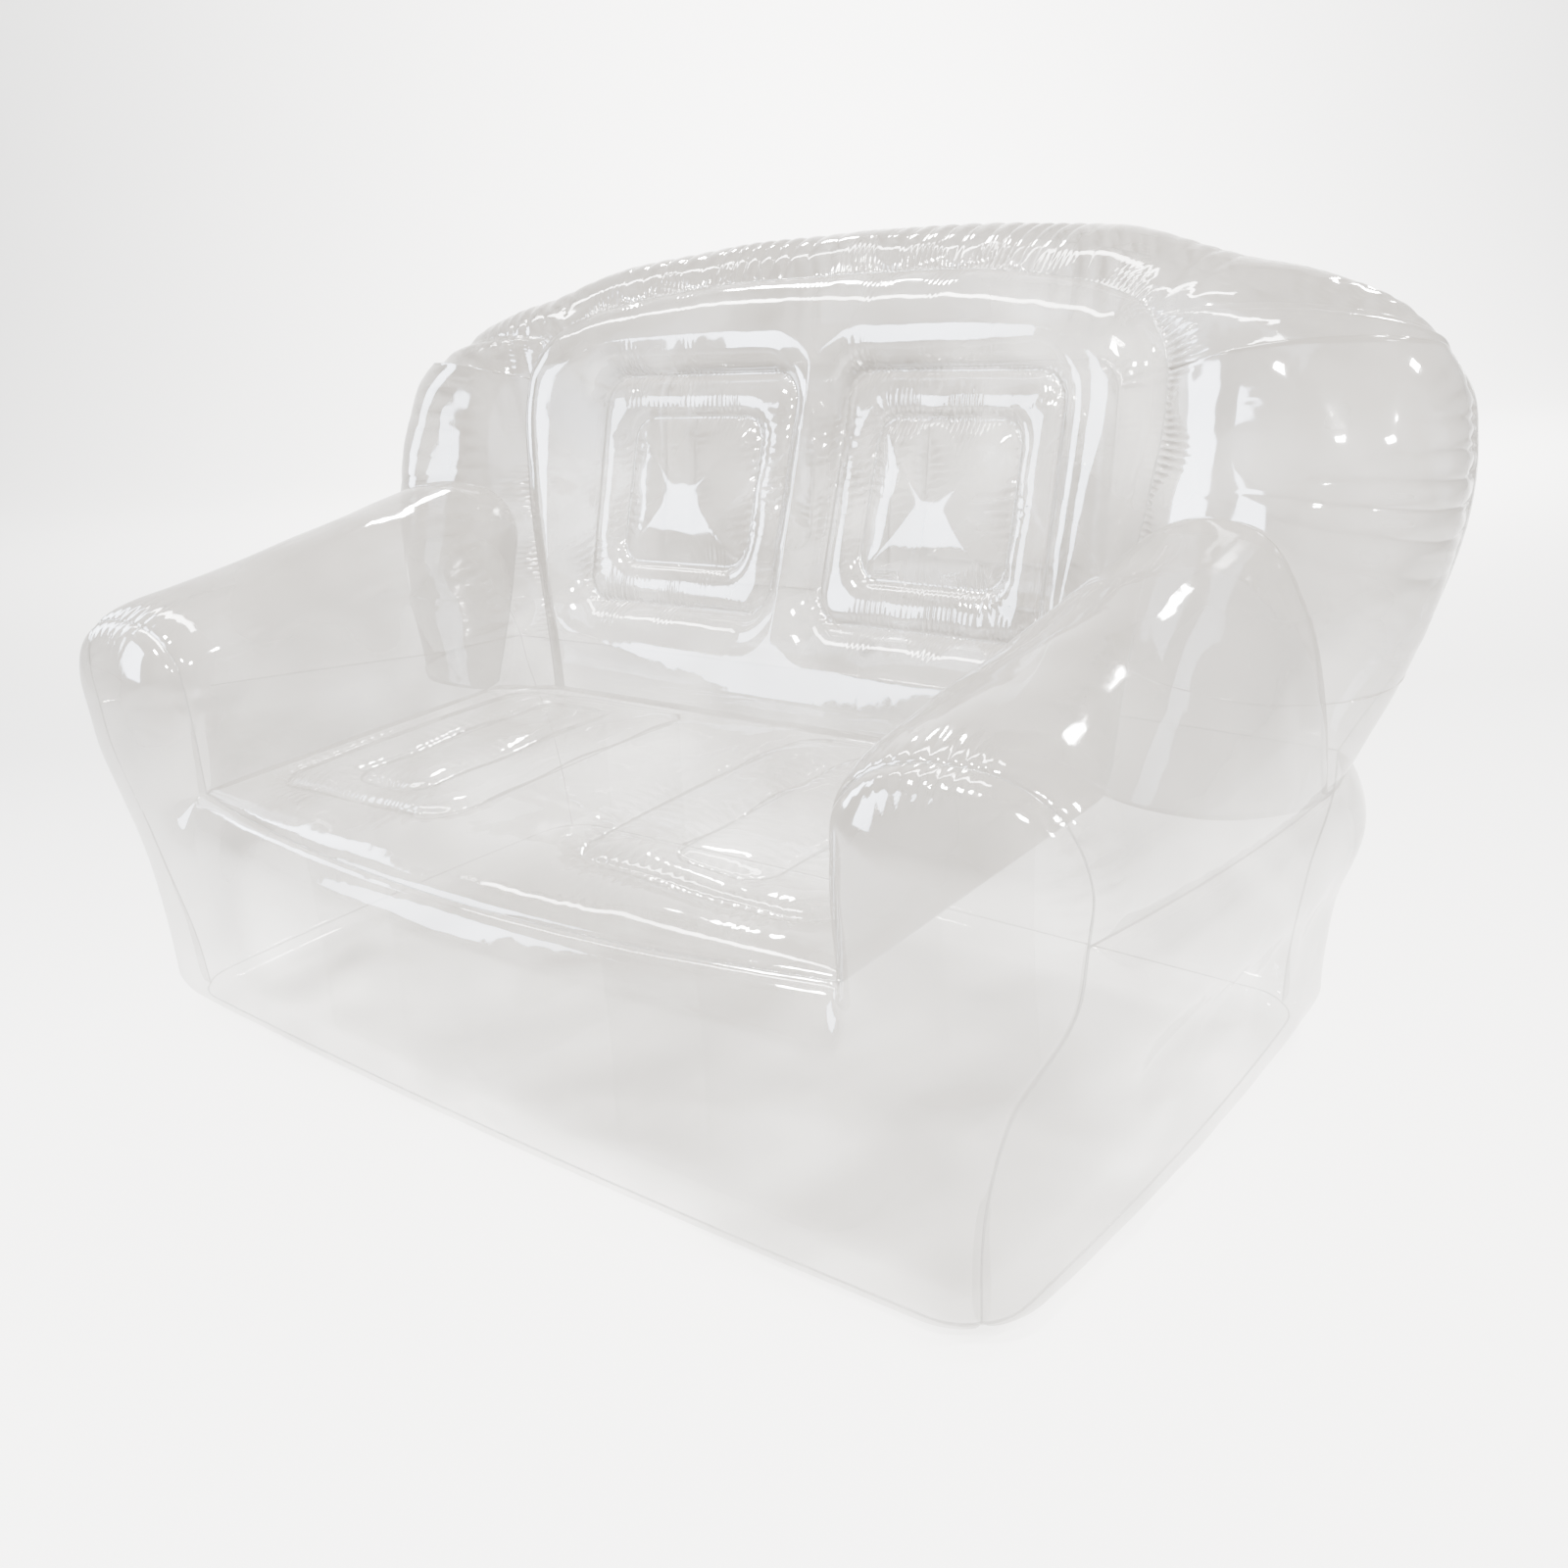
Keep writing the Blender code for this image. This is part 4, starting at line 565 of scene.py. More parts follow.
def rear_grid():
    mid_z = mix(DECK_REAR_Z, WING_TOP_Z - REAR_ROUND, REAR_MIDDLE_SHARE)
    mid_x = mix(BACK_REAR_HALF_WIDTH, REAR_SIDE_X, REAR_MIDDLE_OUT_SHARE)
    side = [(BACK_REAR_HALF_WIDTH, DECK_REAR_Z), (mid_x, mid_z)]
    side += round_corner(REAR_SIDE_X, WING_TOP_Z, REAR_ROUND, CORNER_SIDE_SHARES)
    top = [(0.0, REAR_TOP_Z), (CROWN_X * CROWN_EASE_SHARE, REAR_TOP_Z - CROWN_EASE), (CROWN_X, CROWN_Z)]
    top += [(SHOULDER_X, SHOULDER_Z)]
    top += round_corner(REAR_SIDE_X, WING_TOP_Z, REAR_ROUND, CORNER_TOP_SHARES)
    return back_grid(DECK_REAR_Z, side, top, rear_y)


def outline(grid):
    """A face's edge, up one side, over the top and down the other."""
    return np.concatenate([grid[:, 0], grid[-1, 1:], grid[-2::-1, -1]])


def section_at(share):
    knots = even(len(WING_CHORD_SHARES) - 1)
    return smooth(share, knots, WING_CHORD_SHARES), smooth(share, knots, WING_BULGE_SHARES)


def foot_section(shares):
    """The wing's lowest section, in plan: it runs from the face's foot round to the rear."""
    foot = np.array([FOOT_X, FOOT_Y, SEAT_REAR_Z])
    chord = rear_foot() - foot
    out = unit(np.array([chord[1], -chord[0], 0.0]))
    run, height = section_at(np.asarray(shares))
    return foot + run[:, None] * chord + height[:, None] * WING_BULGE_FOOT * out


def share_at_x(x):
    """Where the wing's lowest section first reaches x."""
    fine = np.linspace(0.0, 1.0, SECTION_SAMPLES)
    reached = np.maximum.accumulate(foot_section(fine)[:, 0])
    return float(np.interp(x, reached, fine))


def wing_shares():
    """Shares round the wing's section, with one at each edge of the arm."""
    inner, outer = share_at_x(SEAT_HALF_WIDTH), share_at_x(WAIST_REAR_X)
    beside_ring = share_at_x(SEAT_RING_OUTER["far"])
    return stations([0.0, beside_ring, inner, outer, 1.0], WING_SECTION_CELLS)


def wing_bulge(count_side, count_top):
    """The wing's fullness along its length: deep at the sides, slim along the top."""
    side = smooth(
        even(count_side),
        (0.0, WING_SIDE_SHARE, 1.0),
        (WING_BULGE_FOOT, WING_BULGE_SIDE, WING_BULGE_CORNER),
    )
    heights = (WING_BULGE_TOP, WING_BULGE_TOP, WING_BULGE_CORNER)
    rise = smooth(np.abs(2 * even(count_top) - 1), (0.0, 0.5, 1.0), heights)
    return np.concatenate([side, rise[1:], side[-2::-1]])


def wing_grid(face, rear):
    """The horseshoe of film round the back, lofted from the face's edge to the rear's."""
    inner, outer = outline(face), outline(rear)
    chord = outer - inner
    path = unit(np.gradient(inner, axis=0) + np.gradient(outer, axis=0))
    out = unit(np.cross(path, chord))
    for end in (0, -1):
        out[end, 2] = 0.0
    out = unit(out)
    height = wing_bulge(len(face) - 1, face.shape[1] - 1)
    run, share = section_at(wing_shares())
    lift = (height[:, None] * share[None, :])[..., None] * out[:, None, :]
    return inner[:, None, :] + run[None, :, None] * chord[:, None, :] + lift


def seat_columns():
    outer, inner = SEAT_RING_OUTER, SEAT_RING_INNER
    breaks = [0.0, outer["near"], inner["near"], inner["far"], FOOT_X, outer["far"], SEAT_HALF_WIDTH]
    return mirrored(stations(breaks, SEAT_ACROSS_CELLS))


def seat_rear(x):
    """The seat's rear edge: straight along the face, then round the wing's foot."""
    corner = foot_section([0.0, share_at_x(SEAT_RING_OUTER["far"]), share_at_x(SEAT_HALF_WIDTH)])
    across = np.abs(np.asarray(x, float))
    y = np.interp(across, [0.0, *corner[:, 0]], [FOOT_Y, *corner[:, 1]])
    z = np.interp(across, [0.0, *corner[:, 0]], [SEAT_REAR_Z, *corner[:, 2]])
    return np.stack([np.asarray(x, float), y, z], axis=-1)


def seat_z(x, y):
    """Height of the seat's rings of weld: level with the seams at its edges, crowned between."""
    front, rear = seat_front(x), seat_rear(x)
    share = np.clip((y - front[..., 1]) / (rear[..., 1] - front[..., 1]), 0.0, 1.0)
    across = 1.0 - (x / SEAT_HALF_WIDTH) ** 4
    crown = SEAT_CROWN * across * (1.0 - (2.0 * share - 1.0) ** 4)
    return mix(front[..., 2], rear[..., 2], share) + crown


@cache
def seat_grid():
    outer, inner = SEAT_RING_OUTER, SEAT_RING_INNER
    x = seat_columns()
    front, rear = seat_front(x), seat_rear(x)
    lead = mix(front[:, 1], outer["low"], eased(SEAT_LEAD_CELLS)[:-1, None])
    middle = stations([outer["low"], inner["low"], inner["high"]], SEAT_MIDDLE_CELLS)
    middle = np.repeat(middle[:, None], len(x), axis=1)
    trail = mix(inner["high"], rear[:, 1], even(SEAT_TRAIL_CELLS)[1:, None])
    y = np.concatenate([lead, middle, trail])
    x = np.repeat(x[None, :], len(y), axis=0)
    grid = np.stack([x, y, seat_z(x, y)], axis=-1)
    edge = distance_to_edges(grid)
    heights = (SEAT_PILLOW, SEAT_PILLOW)
    reaches = (SEAT_PILLOW_REACH, SEAT_PILLOW_REACH)
    grid[..., 2] += quilt(x, y, edge, outer, inner, heights, reaches)
    return grid


# Base panels


def coons(low, high, start, end):
    """A sheet stretched between four edges: low and high run the same way, start and end join them."""
    rows, columns = len(start), len(low)
    up, across = even_like(start)[:, None, None], even_like(low)[None, :, None]
    ruled = mix(low[None], high[None], up) + mix(start[:, None], end[:, None], across)
    corners = mix(mix(low[0], low[-1], across), mix(high[0], high[-1], across), up)
    return (ruled - corners).reshape(rows, columns, -1)


def even_like(line):
    """Shares of a line's length at its points."""
    lengths = run_lengths(line)
    return lengths / lengths[-1]


def waist_seam():
    """From the front corner to the wing, then along the wing's foot to the rear."""
    shares = wing_shares()
    foot = foot_section(shares[shares >= share_at_x(WAIST_REAR_X) - ROUNDING])
    front = np.array([ARM_OUTER_X, ARM_FRONT_Y, WAIST_FRONT_Z])
    run = eased(ARM_LENGTH_CELLS)[:, None]
    line = mix(front, foot[0], run)
    line[:, 0] += WAIST_BOW * hump(run[:, 0])
    return np.concatenate([line, foot[1:]])


def corners_rounded(grid):
    """Draws the base's upright corners in to a round, most at the floor and not at all at the rise."""
    middle = (FLOOR_FRONT_Y + FLOOR_REAR_Y) / 2
    side = np.maximum(np.abs(grid[..., 0]) - FLOOR_HALF_WIDTH + CORNER_ROUND, 0.0)
    deep = np.maximum(np.abs(grid[..., 1] - middle) - (FLOOR_REAR_Y - middle) + CORNER_ROUND, 0.0)
    draw = 1.0 - np.maximum(side, deep) / np.maximum(np.hypot(side, deep), MERGE)
    draw = np.where((side > 0.0) & (deep > 0.0), draw, 0.0)
    rise = np.clip((grid[..., 2] - FLOOR_SEAM_Z) / CORNER_RISE, 0.0, 1.0)
    draw *= (1.0 + np.cos(np.pi * rise)) / 2
    grid[..., 0] -= np.sign(grid[..., 0]) * side * draw
    grid[..., 1] -= np.sign(grid[..., 1] - middle) * deep * draw
    return grid


@cache
def side_grid():
    front = front_seam()
    rear = rear_seam(even_like(front[:, 2:]))
    top = waist_seam()
    low = floor_line(front[0], rear[0], even_like(top), (EDGE_BOW, 0.0, 0.0))
    grid = coons(low, top, front, rear)
    grid[..., 0] += bulge(distance_to_edges(grid), SIDE_CROWN, WALL_CROWN_REACH)
    return corners_rounded(grid)


@cache
def base_rear_grid():
    end = rear_seam(eased(WALL_CELLS))
    start = flipped(end)
    top = deck_rear(np.linspace(-1.0, 1.0, REAR_COLUMNS) * BACK_REAR_HALF_WIDTH)
    low = floor_line(start[0], end[0], even_like(top), (0.0, EDGE_BOW, 0.0))
    grid = coons(low, top, start, end)
    grid[..., 1] += bulge(distance_to_edges(grid), REAR_CROWN, WALL_CROWN_REACH)
    return corners_rounded(grid)


def rimmed(rim_share):
    """Shares across the floor panel, with fine rows where its rim curls up."""
    rim = rim_share * (1.0 - np.cos(np.pi / 2 * even(RIM_CELLS)))
    return np.concatenate([rim[:-1], np.linspace(rim[-1], 1 - rim[-1], FLOOR_CELLS + 1), 1 - rim[-2::-1]])


def floor_grid():
    corner_front = np.array([FLOOR_HALF_WIDTH, FLOOR_FRONT_Y, FLOOR_SEAM_Z])
    corner_rear = np.array([FLOOR_HALF_WIDTH, FLOOR_REAR_Y, FLOOR_SEAM_Z])
    across = rimmed(FLOOR_CURL / (2 * FLOOR_HALF_WIDTH))
    deep = rimmed(FLOOR_CURL / (FLOOR_REAR_Y - FLOOR_FRONT_Y))
    front = floor_line(flipped(corner_front), corner_front, across, (0.0, -EDGE_BOW, 0.0))
    rear = floor_line(flipped(corner_rear), corner_rear, across, (0.0, EDGE_BOW, 0.0))
    right = floor_line(corner_front, corner_rear, deep, (EDGE_BOW, 0.0, 0.0))
    grid = coons(front, rear, flipped(right), right)
    inward = np.clip(distance_to_edges(grid) / FLOOR_CURL, 0.0, 1.0)
    grid[..., 2] = FLOOR_SEAM_Z * (1.0 - np.sqrt(1.0 - (1.0 - inward) ** 2))
    return corners_rounded(grid)


def deck_grid():
    """Half of the sheet between the two chambers, at the height of the seams that it joins."""
    foot = foot_section(wing_shares())
    x = FOOT_X * even(DECK_CELLS)
    front = np.stack([x, np.full(len(x), FOOT_Y), np.full(len(x), SEAT_REAR_Z)], axis=-1)
    turn = len(foot) - 1 - WING_SECTION_CELLS[-1]
    low = np.concatenate([front, foot[1 : turn + 1]])
    end = foot[turn:]
    high = deck_rear(even_like(low) * BACK_REAR_HALF_WIDTH)
    start = mix(low[0], high[0], even_like(end)[:, None])
    return coons(low, high, start, end)


def front_wall(seam):
    """The base's front, from the floor seam to the height of the seat seam."""
    wall = seam[: WALL_CELLS + 1]
    x = front_columns()
    share = (x / x[-1] + 1) / 2
    low = floor_line(flipped(wall[0]), wall[0], share, (0.0, -EDGE_BOW, 0.0))
    seat = np.abs(x) <= SEAT_HALF_WIDTH + FILM
    lobe = ~seat
    top = seat_front(np.where(seat, x, 0.0))
    reach = (np.abs(x[lobe]) - SEAT_HALF_WIDTH) / (x[-1] - SEAT_HALF_WIDTH)
    top[lobe] = mix(seat_front(SEAT_HALF_WIDTH), wall[-1], reach[:, None])
    top[lobe, 0] *= np.sign(x[lobe])
    return coons(low, top, flipped(wall), wall)


def front_columns():
    half = SEAT_HALF_WIDTH * even(FRONT_CELLS)
    width = front_seam()[WALL_CELLS, 0]
    lobe = SEAT_HALF_WIDTH + (width - SEAT_HALF_WIDTH) * even(2 * LOBE_CELLS)[1:]
    return mirrored(np.concatenate([half, lobe]))


def front_lobe(seam, wall_top):
    """An arm's front, above the height of the seat seam, on the side at +X."""
    edge = arm_front()
    over = edge[: 2 * LOBE_CELLS + 1][::-1]
    inner = edge[2 * LOBE_CELLS :][::-1]
    outer = seam[WALL_CELLS:]
    return coons(wall_top[-2 * LOBE_CELLS - 1 :], over, inner, outer)


def arm_grid(wing_tree):
    """An arm's rolled top: straight lines from the front arch back to where they meet the wing."""
    front = arm_front()
    foot = foot_section([share_at_x(WAIST_REAR_X), share_at_x(SEAT_HALF_WIDTH)])
    section = arch(foot[0, 0], foot[1, 0], foot[0, 2], foot[1, 2], ARM_TOP_REAR_Z)
    shares = arch_shares()
    line = along(section, shares)
    rear = np.stack([line[:, 0], mix(foot[0, 1], foot[1, 1], shares), line[:, 1]], axis=-1)
    for index in range(1, len(rear) - 1):
        rear[index] = meet(wing_tree, front[index], rear[index], ARM_TO_WING_GAP)
    ends = np.array([0, -1])
    rear[ends] -= ARM_TO_WING_GAP * unit(rear[ends] - front[ends])
    draw_back(wing_tree, rear, unit(rear - front))
    run = eased(ARM_LENGTH_CELLS)[:, None]
    grid = mix(front[None], rear[None], run[..., None])
    grid[..., 0] += WAIST_BOW * hump(run) * (1.0 - shares) ** 4
    across = np.gradient(grid, axis=1)
    out = unit(np.stack([across[..., 2], np.zeros(across.shape[:2]), -across[..., 0]], axis=-1))
    return grid + bulge(distance_to_edges(grid), ARM_CROWN, ARM_CROWN_REACH)[..., None] * out


def meet(tree, start, through, gap):
    """The point on the line from start through another point that lies a gap short of the surface."""
    direction = Vector(through - start).normalized()
    hit, normal, _, _ = tree.ray_cast(Vector(start), direction)
    if hit is None:
        raise ValueError("a line that should end on a panel misses it")
    return np.array(hit - direction * gap / abs(direction.dot(normal)))


def draw_back(tree, line, directions):
    """Draws a line's points back until the straight pieces between them clear the surface too."""
    for index in list(range(len(line) - 1)) * DRAW_BACK_PASSES:
        for share in PROBE_SHARES:
            point = Vector(mix(line[index], line[index + 1], share))
            hit, normal, _, _ = tree.find_nearest(point)
            short = ARM_TO_WING_GAP / 2 - (point - hit).dot(normal)
            if short > 0.0:
                line[index : index + 2] -= short * directions[index : index + 2]


def ring_loop(ring):
    """Points round a ring: an arc at each corner, and a few along each straight side."""
    middle = np.array([ring["near"] + ring["far"], ring["low"] + ring["high"]]) / 2
    reach = np.array([ring["far"] - ring["near"], ring["high"] - ring["low"]]) / 2 - ring["round"]
    corners = []
    for quarter, signs in enumerate(((1, 1), (-1, 1), (-1, -1), (1, -1))):
        for step in range(RING_CORNER_STEPS + 1):
            angle = (quarter + step / RING_CORNER_STEPS) * math.pi / 2
            turn = np.array([math.cos(angle), math.sin(angle)])
            corners.append(middle + signs * reach + ring["round"] * turn)
    loop = []
    for start, end in zip(corners, corners[1:] + corners[:1]):
        cells = max(1, round(math.dist(start, end) / RING_SIDE_STEP))
        loop += [mix(start, end, i / cells) for i in range(cells)]
    return np.array(loop)


# Film surfaces, finer than the frame's and with the puckers that its welds leave


def nearest_on(points, line):
    """Distance from each point to a line, and how far along the line the nearest place is."""
    fine, runs = resampled(line, LINE_STEP)
    tree = KDTree(len(fine))
    for index, place in enumerate(fine):
        tree.insert(place, index)
    tree.balance()
    found = [tree.find(point) for point in points.reshape(-1, 3)]
    distance = np.array([hit[2] for hit in found])
    run = runs[[hit[1] for hit in found]]
    return distance.reshape(points.shape[:-1]), run.reshape(points.shape[:-1])


def grid_normals(grid):
    normal = np.cross(np.gradient(grid, axis=1), np.gradient(grid, axis=0))
    length = np.linalg.norm(normal, axis=-1, keepdims=True)
    return normal / np.maximum(length, MERGE**2)


def waver(run, pitch, seed):
    """An uneven wave along a seam: folds of different widths, depths and places."""
    drift = np.sin(run / pitch * 0.37 + seed) + 0.6 * np.sin(run / pitch * 0.83 + 2.3 * seed)
    fold = np.abs(np.sin(math.pi * run / pitch + 1.1 * drift))
    depth = 0.55 + 0.45 * np.sin(run / pitch * 0.61 + 1.7 * seed) * np.sin(run / pitch * 0.23 + seed)
    return (1.0 - np.sqrt(fold)) * depth


def comb(run, pitch, seed):
    """Fine even pleats that come and go along a seam."""
    drift = 0.9 * np.sin(run / pitch * 0.29 + seed) + 0.5 * np.sin(run / pitch * 0.71 + 2.0 * seed)
    patch = np.clip(0.65 + 0.6 * np.sin(run / pitch * 0.105 + 1.3 * seed), 0.0, 1.0)
    return patch * (0.5 + 0.5 * np.cos(math.tau * run / pitch + drift))


def pucker(grid, seams, inward):
    """Presses short folds into the film beside its seams, and gives the film and each fold's depth."""
    normal = grid_normals(grid) * inward
    push = np.zeros(grid.shape[:2])
    for seed, (line, height, reach, pitch, wave) in enumerate(seams, 1):
        distance, run = nearest_on(grid, line)
        reach = reach * (0.7 + 0.5 * np.sin(run / pitch * 0.47 + seed))
        near = distance / np.maximum(reach, MERGE)
        fade = near * np.exp(1.0 - near) * (distance < FOLD_END * reach)
        push = np.maximum(push, height * fade * wave(run, pitch, seed * 1.9))
    return grid + push[..., None] * normal, push


def refined(grid, across=1, up=1):
    """The same sheet with each of its cells split, along smooth curves."""
    for axis, parts in ((1, across), (0, up)):
        if parts > 1:
            count = grid.shape[axis]
            places = np.arange((count - 1) * parts + 1) / parts
            start = np.minimum(places.astype(int), count - 2)
            share = (places - start).reshape((-1, 1, 1) if axis == 0 else (1, -1, 1))
            steps = [np.clip(start + step, 0, count - 1) for step in (-1, 0, 1, 2)]
            before, low, high, after = (np.take(grid, step, axis=axis) for step in steps)
            slope_low, slope_high = (high - before) / 2, (after - low) / 2
            rise = high - low
            bend = 3 * rise - 2 * slope_low - slope_high
            twist = slope_low + slope_high - 2 * rise
            grid = low + share * (slope_low + share * (bend + share * twist))
    return grid


def slackened(grid, inward, height, size, seed):
    """Film that isn't drum-tight: long shallow waves over the whole panel."""
    rng = np.random.default_rng(seed)
    normal = grid_normals(grid) * inward
    edge = np.clip(distance_to_edges(grid) / size, 0.0, 1.0)
    wave = np.zeros(grid.shape[:2])
    for _ in range(SLACK_WAVES):
        way = unit(rng.normal(size=3)) * rng.uniform(*SLACK_WAVE_SHARES) * math.tau / size
        wave += np.sin(grid @ way + rng.uniform(0.0, math.tau))
    return grid + (height * wave * edge / (SLACK_WAVES / 2))[..., None] * normal


def seated(grid, valve):
    """Film laid flat where a valve's flange is welded to it, easing out to the panel's own shape."""
    centre, out = (np.array(VALVES[valve][word]) for word in ("centre", "out"))
    away = grid + CHAIR_SHIFT - centre
    height = away @ out
    spread = np.linalg.norm(away - height[..., None] * out, axis=-1)
    ease = np.clip((spread - VALVE_FLAT) / (VALVE_EASE - VALVE_FLAT), 0.0, 1.0)
    hold = (1.0 + np.cos(np.pi * ease)) / 2 * (np.abs(height) < VALVE_EASE)
    return grid - (hold * height)[..., None] * out


def cut_for_valve(data, valve):
    """Opens the film where a valve's stem goes through it."""
    centre, out = (Vector(VALVES[valve][word]) for word in ("centre", "out"))
    mesh = bmesh.new()
    mesh.from_mesh(data)
    inside = []
    for face in mesh.faces:
        away = face.calc_center_median() - centre
        if (away - away.dot(out) * out).length < VALVE_HOLE and abs(away.dot(out)) < VALVE_FLAT:
            inside.append(face)
    bmesh.ops.delete(mesh, geom=inside, context="FACES")
    mesh.to_mesh(data)
    mesh.free()


def film_mesh(name, grids, depths=()):
    """One smooth sheet from fine grids that share edges, with the depth of its folds at each point."""
    quads, first = [], 0
    for grid in grids:
        index = first + np.arange(grid.shape[0] * grid.shape[1]).reshape(grid.shape[:2])
        quads.append(cell_corners(index))
        first += index.size
    places = np.concatenate([grid.reshape(-1, 3) for grid in grids]) + CHAIR_SHIFT
    data = bpy.data.meshes.new(name)
    data.from_pydata(places.tolist(), [], np.concatenate(quads).tolist())
    if depths:
        layer = data.attributes.new("fold_depth", "FLOAT", "POINT")
        layer.data.foreach_set("value", np.concatenate([depth.ravel() for depth in depths]))
    mesh = bmesh.new()
    mesh.from_mesh(data)
    bmesh.ops.remove_doubles(mesh, verts=mesh.verts, dist=MERGE)
    bmesh.ops.recalc_face_normals(mesh, faces=mesh.faces)
    mesh.to_mesh(data)
    mesh.free()
    data.shade_smooth()
    return data


def add_piece(name, data, finish, nodes, body="root"):
    """Puts a piece in the scene, on its body and in the place of its node."""
    obj = bpy.data.objects.new(name, data)
    bpy.context.scene.collection.objects.link(obj)
    data.materials.append(finish_named(finish))
    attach(obj, body)
    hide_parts(*nodes)
    obj.visible_shadow = False
    return obj


# The chair's panels, with their seams


def ring_line(ring, side, height):
    """A ring of weld on the seat or the back, as a closed line on its surface."""
    loop = ring_loop(ring) * (side, 1.0)
    return height(np.concatenate([loop, loop[:1]]))


def on_seat(loop):
    return np.column_stack([loop, seat_z(loop[:, 0], loop[:, 1])])


def on_face(loop):
    return np.column_stack([loop[:, 0], face_y(*loop.T), loop[:, 1]])


def on_rear(loop):
    return np.column_stack([loop[:, 0], rear_y(*loop.T), loop[:, 1]])


def ring_seams(height, outer, inner, *shares):
    """The four rings of weld on a panel, with the fine pleats that each leaves."""
    lines = [ring_line(ring, side, height) for side in (1.0, -1.0) for ring in (outer, inner)]
    return [folds_beside("comb", line, *shares) for line in lines]


@cache
def front_panel_grids():
    """The front panel in three grids: the wall, and an arm's front at each side."""
    seam = front_seam()
    wall = front_wall(seam)
    lobe = front_lobe(seam, wall[-1])
    seat = np.abs(front_columns()) <= SEAT_HALF_WIDTH + FILM
    arch_edges = (lobe[:, 0], lobe[:, -1], lobe[-1])
    edges = (wall[0], wall[:, 0], wall[:, -1], wall[-1, seat], *arch_edges, *map(flipped, arch_edges))
    grids = [wall, lobe, flipped(lobe)]
    for grid in grids:
        distance = np.min([distance_to_line(grid, edge) for edge in edges], axis=0)
        grid[..., 1] -= bulge(distance, FRONT_CROWN, FRONT_CROWN_REACH)
        corners_rounded(grid)
    return grids


def quilted(grid, height, reach):
    """How far a face of the back stands out round its rings, with a full dome in each window."""
    x, z = grid[..., 0], grid[..., 2]
    heights, reaches = (height, WINDOW_PILLOW), (reach, WINDOW_PILLOW_REACH)
    out = quilt(x, z, distance_to_edges(grid), BACK_RING_OUTER, BACK_RING_INNER, heights, reaches)
    to_inner = distance_to_ring(x, z, BACK_RING_INNER)
    share = np.clip(-to_inner / WINDOW_DOME_REACH, 0.0, 1.0)
    dome = WINDOW_PILLOW * WINDOW_STEP_SHARE * np.sqrt(share) + WINDOW_DOME * (1.0 - (1.0 - share) ** 2)
    return np.where(to_inner < 0.0, dome, out)[..., None] * (0.0, 1.0, 0.0)


@cache
def wing_sheet():
    return wing_grid(face_grid(), rear_grid())


@cache
def arm_sheet():
    wing = wing_sheet()
    return arm_grid(tree_of(wing[:, ::-1] if facing(wing, DEPTH) > 0.0 else wing))


@cache
def face_sheet():
    return face_grid() - quilted(face_grid(), FACE_PILLOW, FACE_PILLOW_REACH)


@cache
def rear_sheet():
    return rear_grid() + quilted(rear_grid(), REAR_PILLOW, REAR_PILLOW_REACH)


def facing(grid, axis):
    """1.0 where a sheet's own normals point up an axis, and -1.0 where they point down it."""
    return 1.0 if grid_normals(grid)[..., axis].mean() > 0.0 else -1.0


def cell_corners(index):
    """The four corners of each cell of a grid of point numbers."""
    return np.stack([index[:-1, :-1], index[:-1, 1:], index[1:, 1:], index[1:, :-1]], axis=-1).reshape(-1, 4)


def tree_of(grid):
    index = np.arange(grid.shape[0] * grid.shape[1]).reshape(grid.shape[:2])
    return BVHTree.FromPolygons(grid.reshape(-1, 3).tolist(), cell_corners(index).tolist())


def add_film(name, grids, depths=(), finish="clear_film"):
    data = film_mesh(name + "_film", grids, depths)
    return add_piece(name + "_film", data, finish, [name])


def strip_grid(low, high, bow):
    """A tie strip between two welds, drawn in a little along its middle as it pulls them together."""
    share = even(STRIP_ROWS)[:, None, None]
    inward = low.mean(axis=0) - low
    inward[:, 2] *= 0.0 if np.ptp(low[:, 2]) < LEVEL_LOOP else 1.0
    return mix(low[None], high[None], share) + bow * hump(share) * unit(inward)[None]


def bead_mesh(name, lines, width, height):
    """Weld beads: flattened round strips along seam lines."""
    points, quads, first = [], [], 0
    turn = np.arange(BEAD_SIDES) * math.tau / BEAD_SIDES
    across = width / 2 * np.cos(turn)[None, :, None]
    up = height / 2 * np.sin(turn)[None, :, None]
    for line in lines:
        path, _ = resampled(line, BEAD_STEP)
        along_path = unit(np.gradient(path, axis=0))
        side = unit(np.cross(along_path, BEAD_SKEW))
        ring = across * side[:, None] + up * np.cross(side, along_path)[:, None]
        points.append((path[:, None] + ring + CHAIR_SHIFT).reshape(-1, 3))
        index = first + np.arange(len(path) * BEAD_SIDES).reshape(-1, BEAD_SIDES)
        quads.append(cell_corners(np.concatenate([index, index[:, :1]], axis=1)))
        first += index.size
    data = bpy.data.meshes.new(name)
    data.from_pydata(np.concatenate(points).tolist(), [], np.concatenate(quads).tolist())
    data.shade_smooth()
    return data


def ring_weld_lines():
    """The rings of weld that show on the seat and on both faces of the back."""
    lines = []
    for side in (1.0, -1.0):
        lines += [ring_line(ring, side, on_seat) for ring in (SEAT_RING_OUTER, SEAT_RING_INNER)]
        for ring in (BACK_RING_OUTER, BACK_RING_INNER):
            lines += [ring_line(ring, side, on_face), ring_line(ring, side, on_rear)]
    return lines


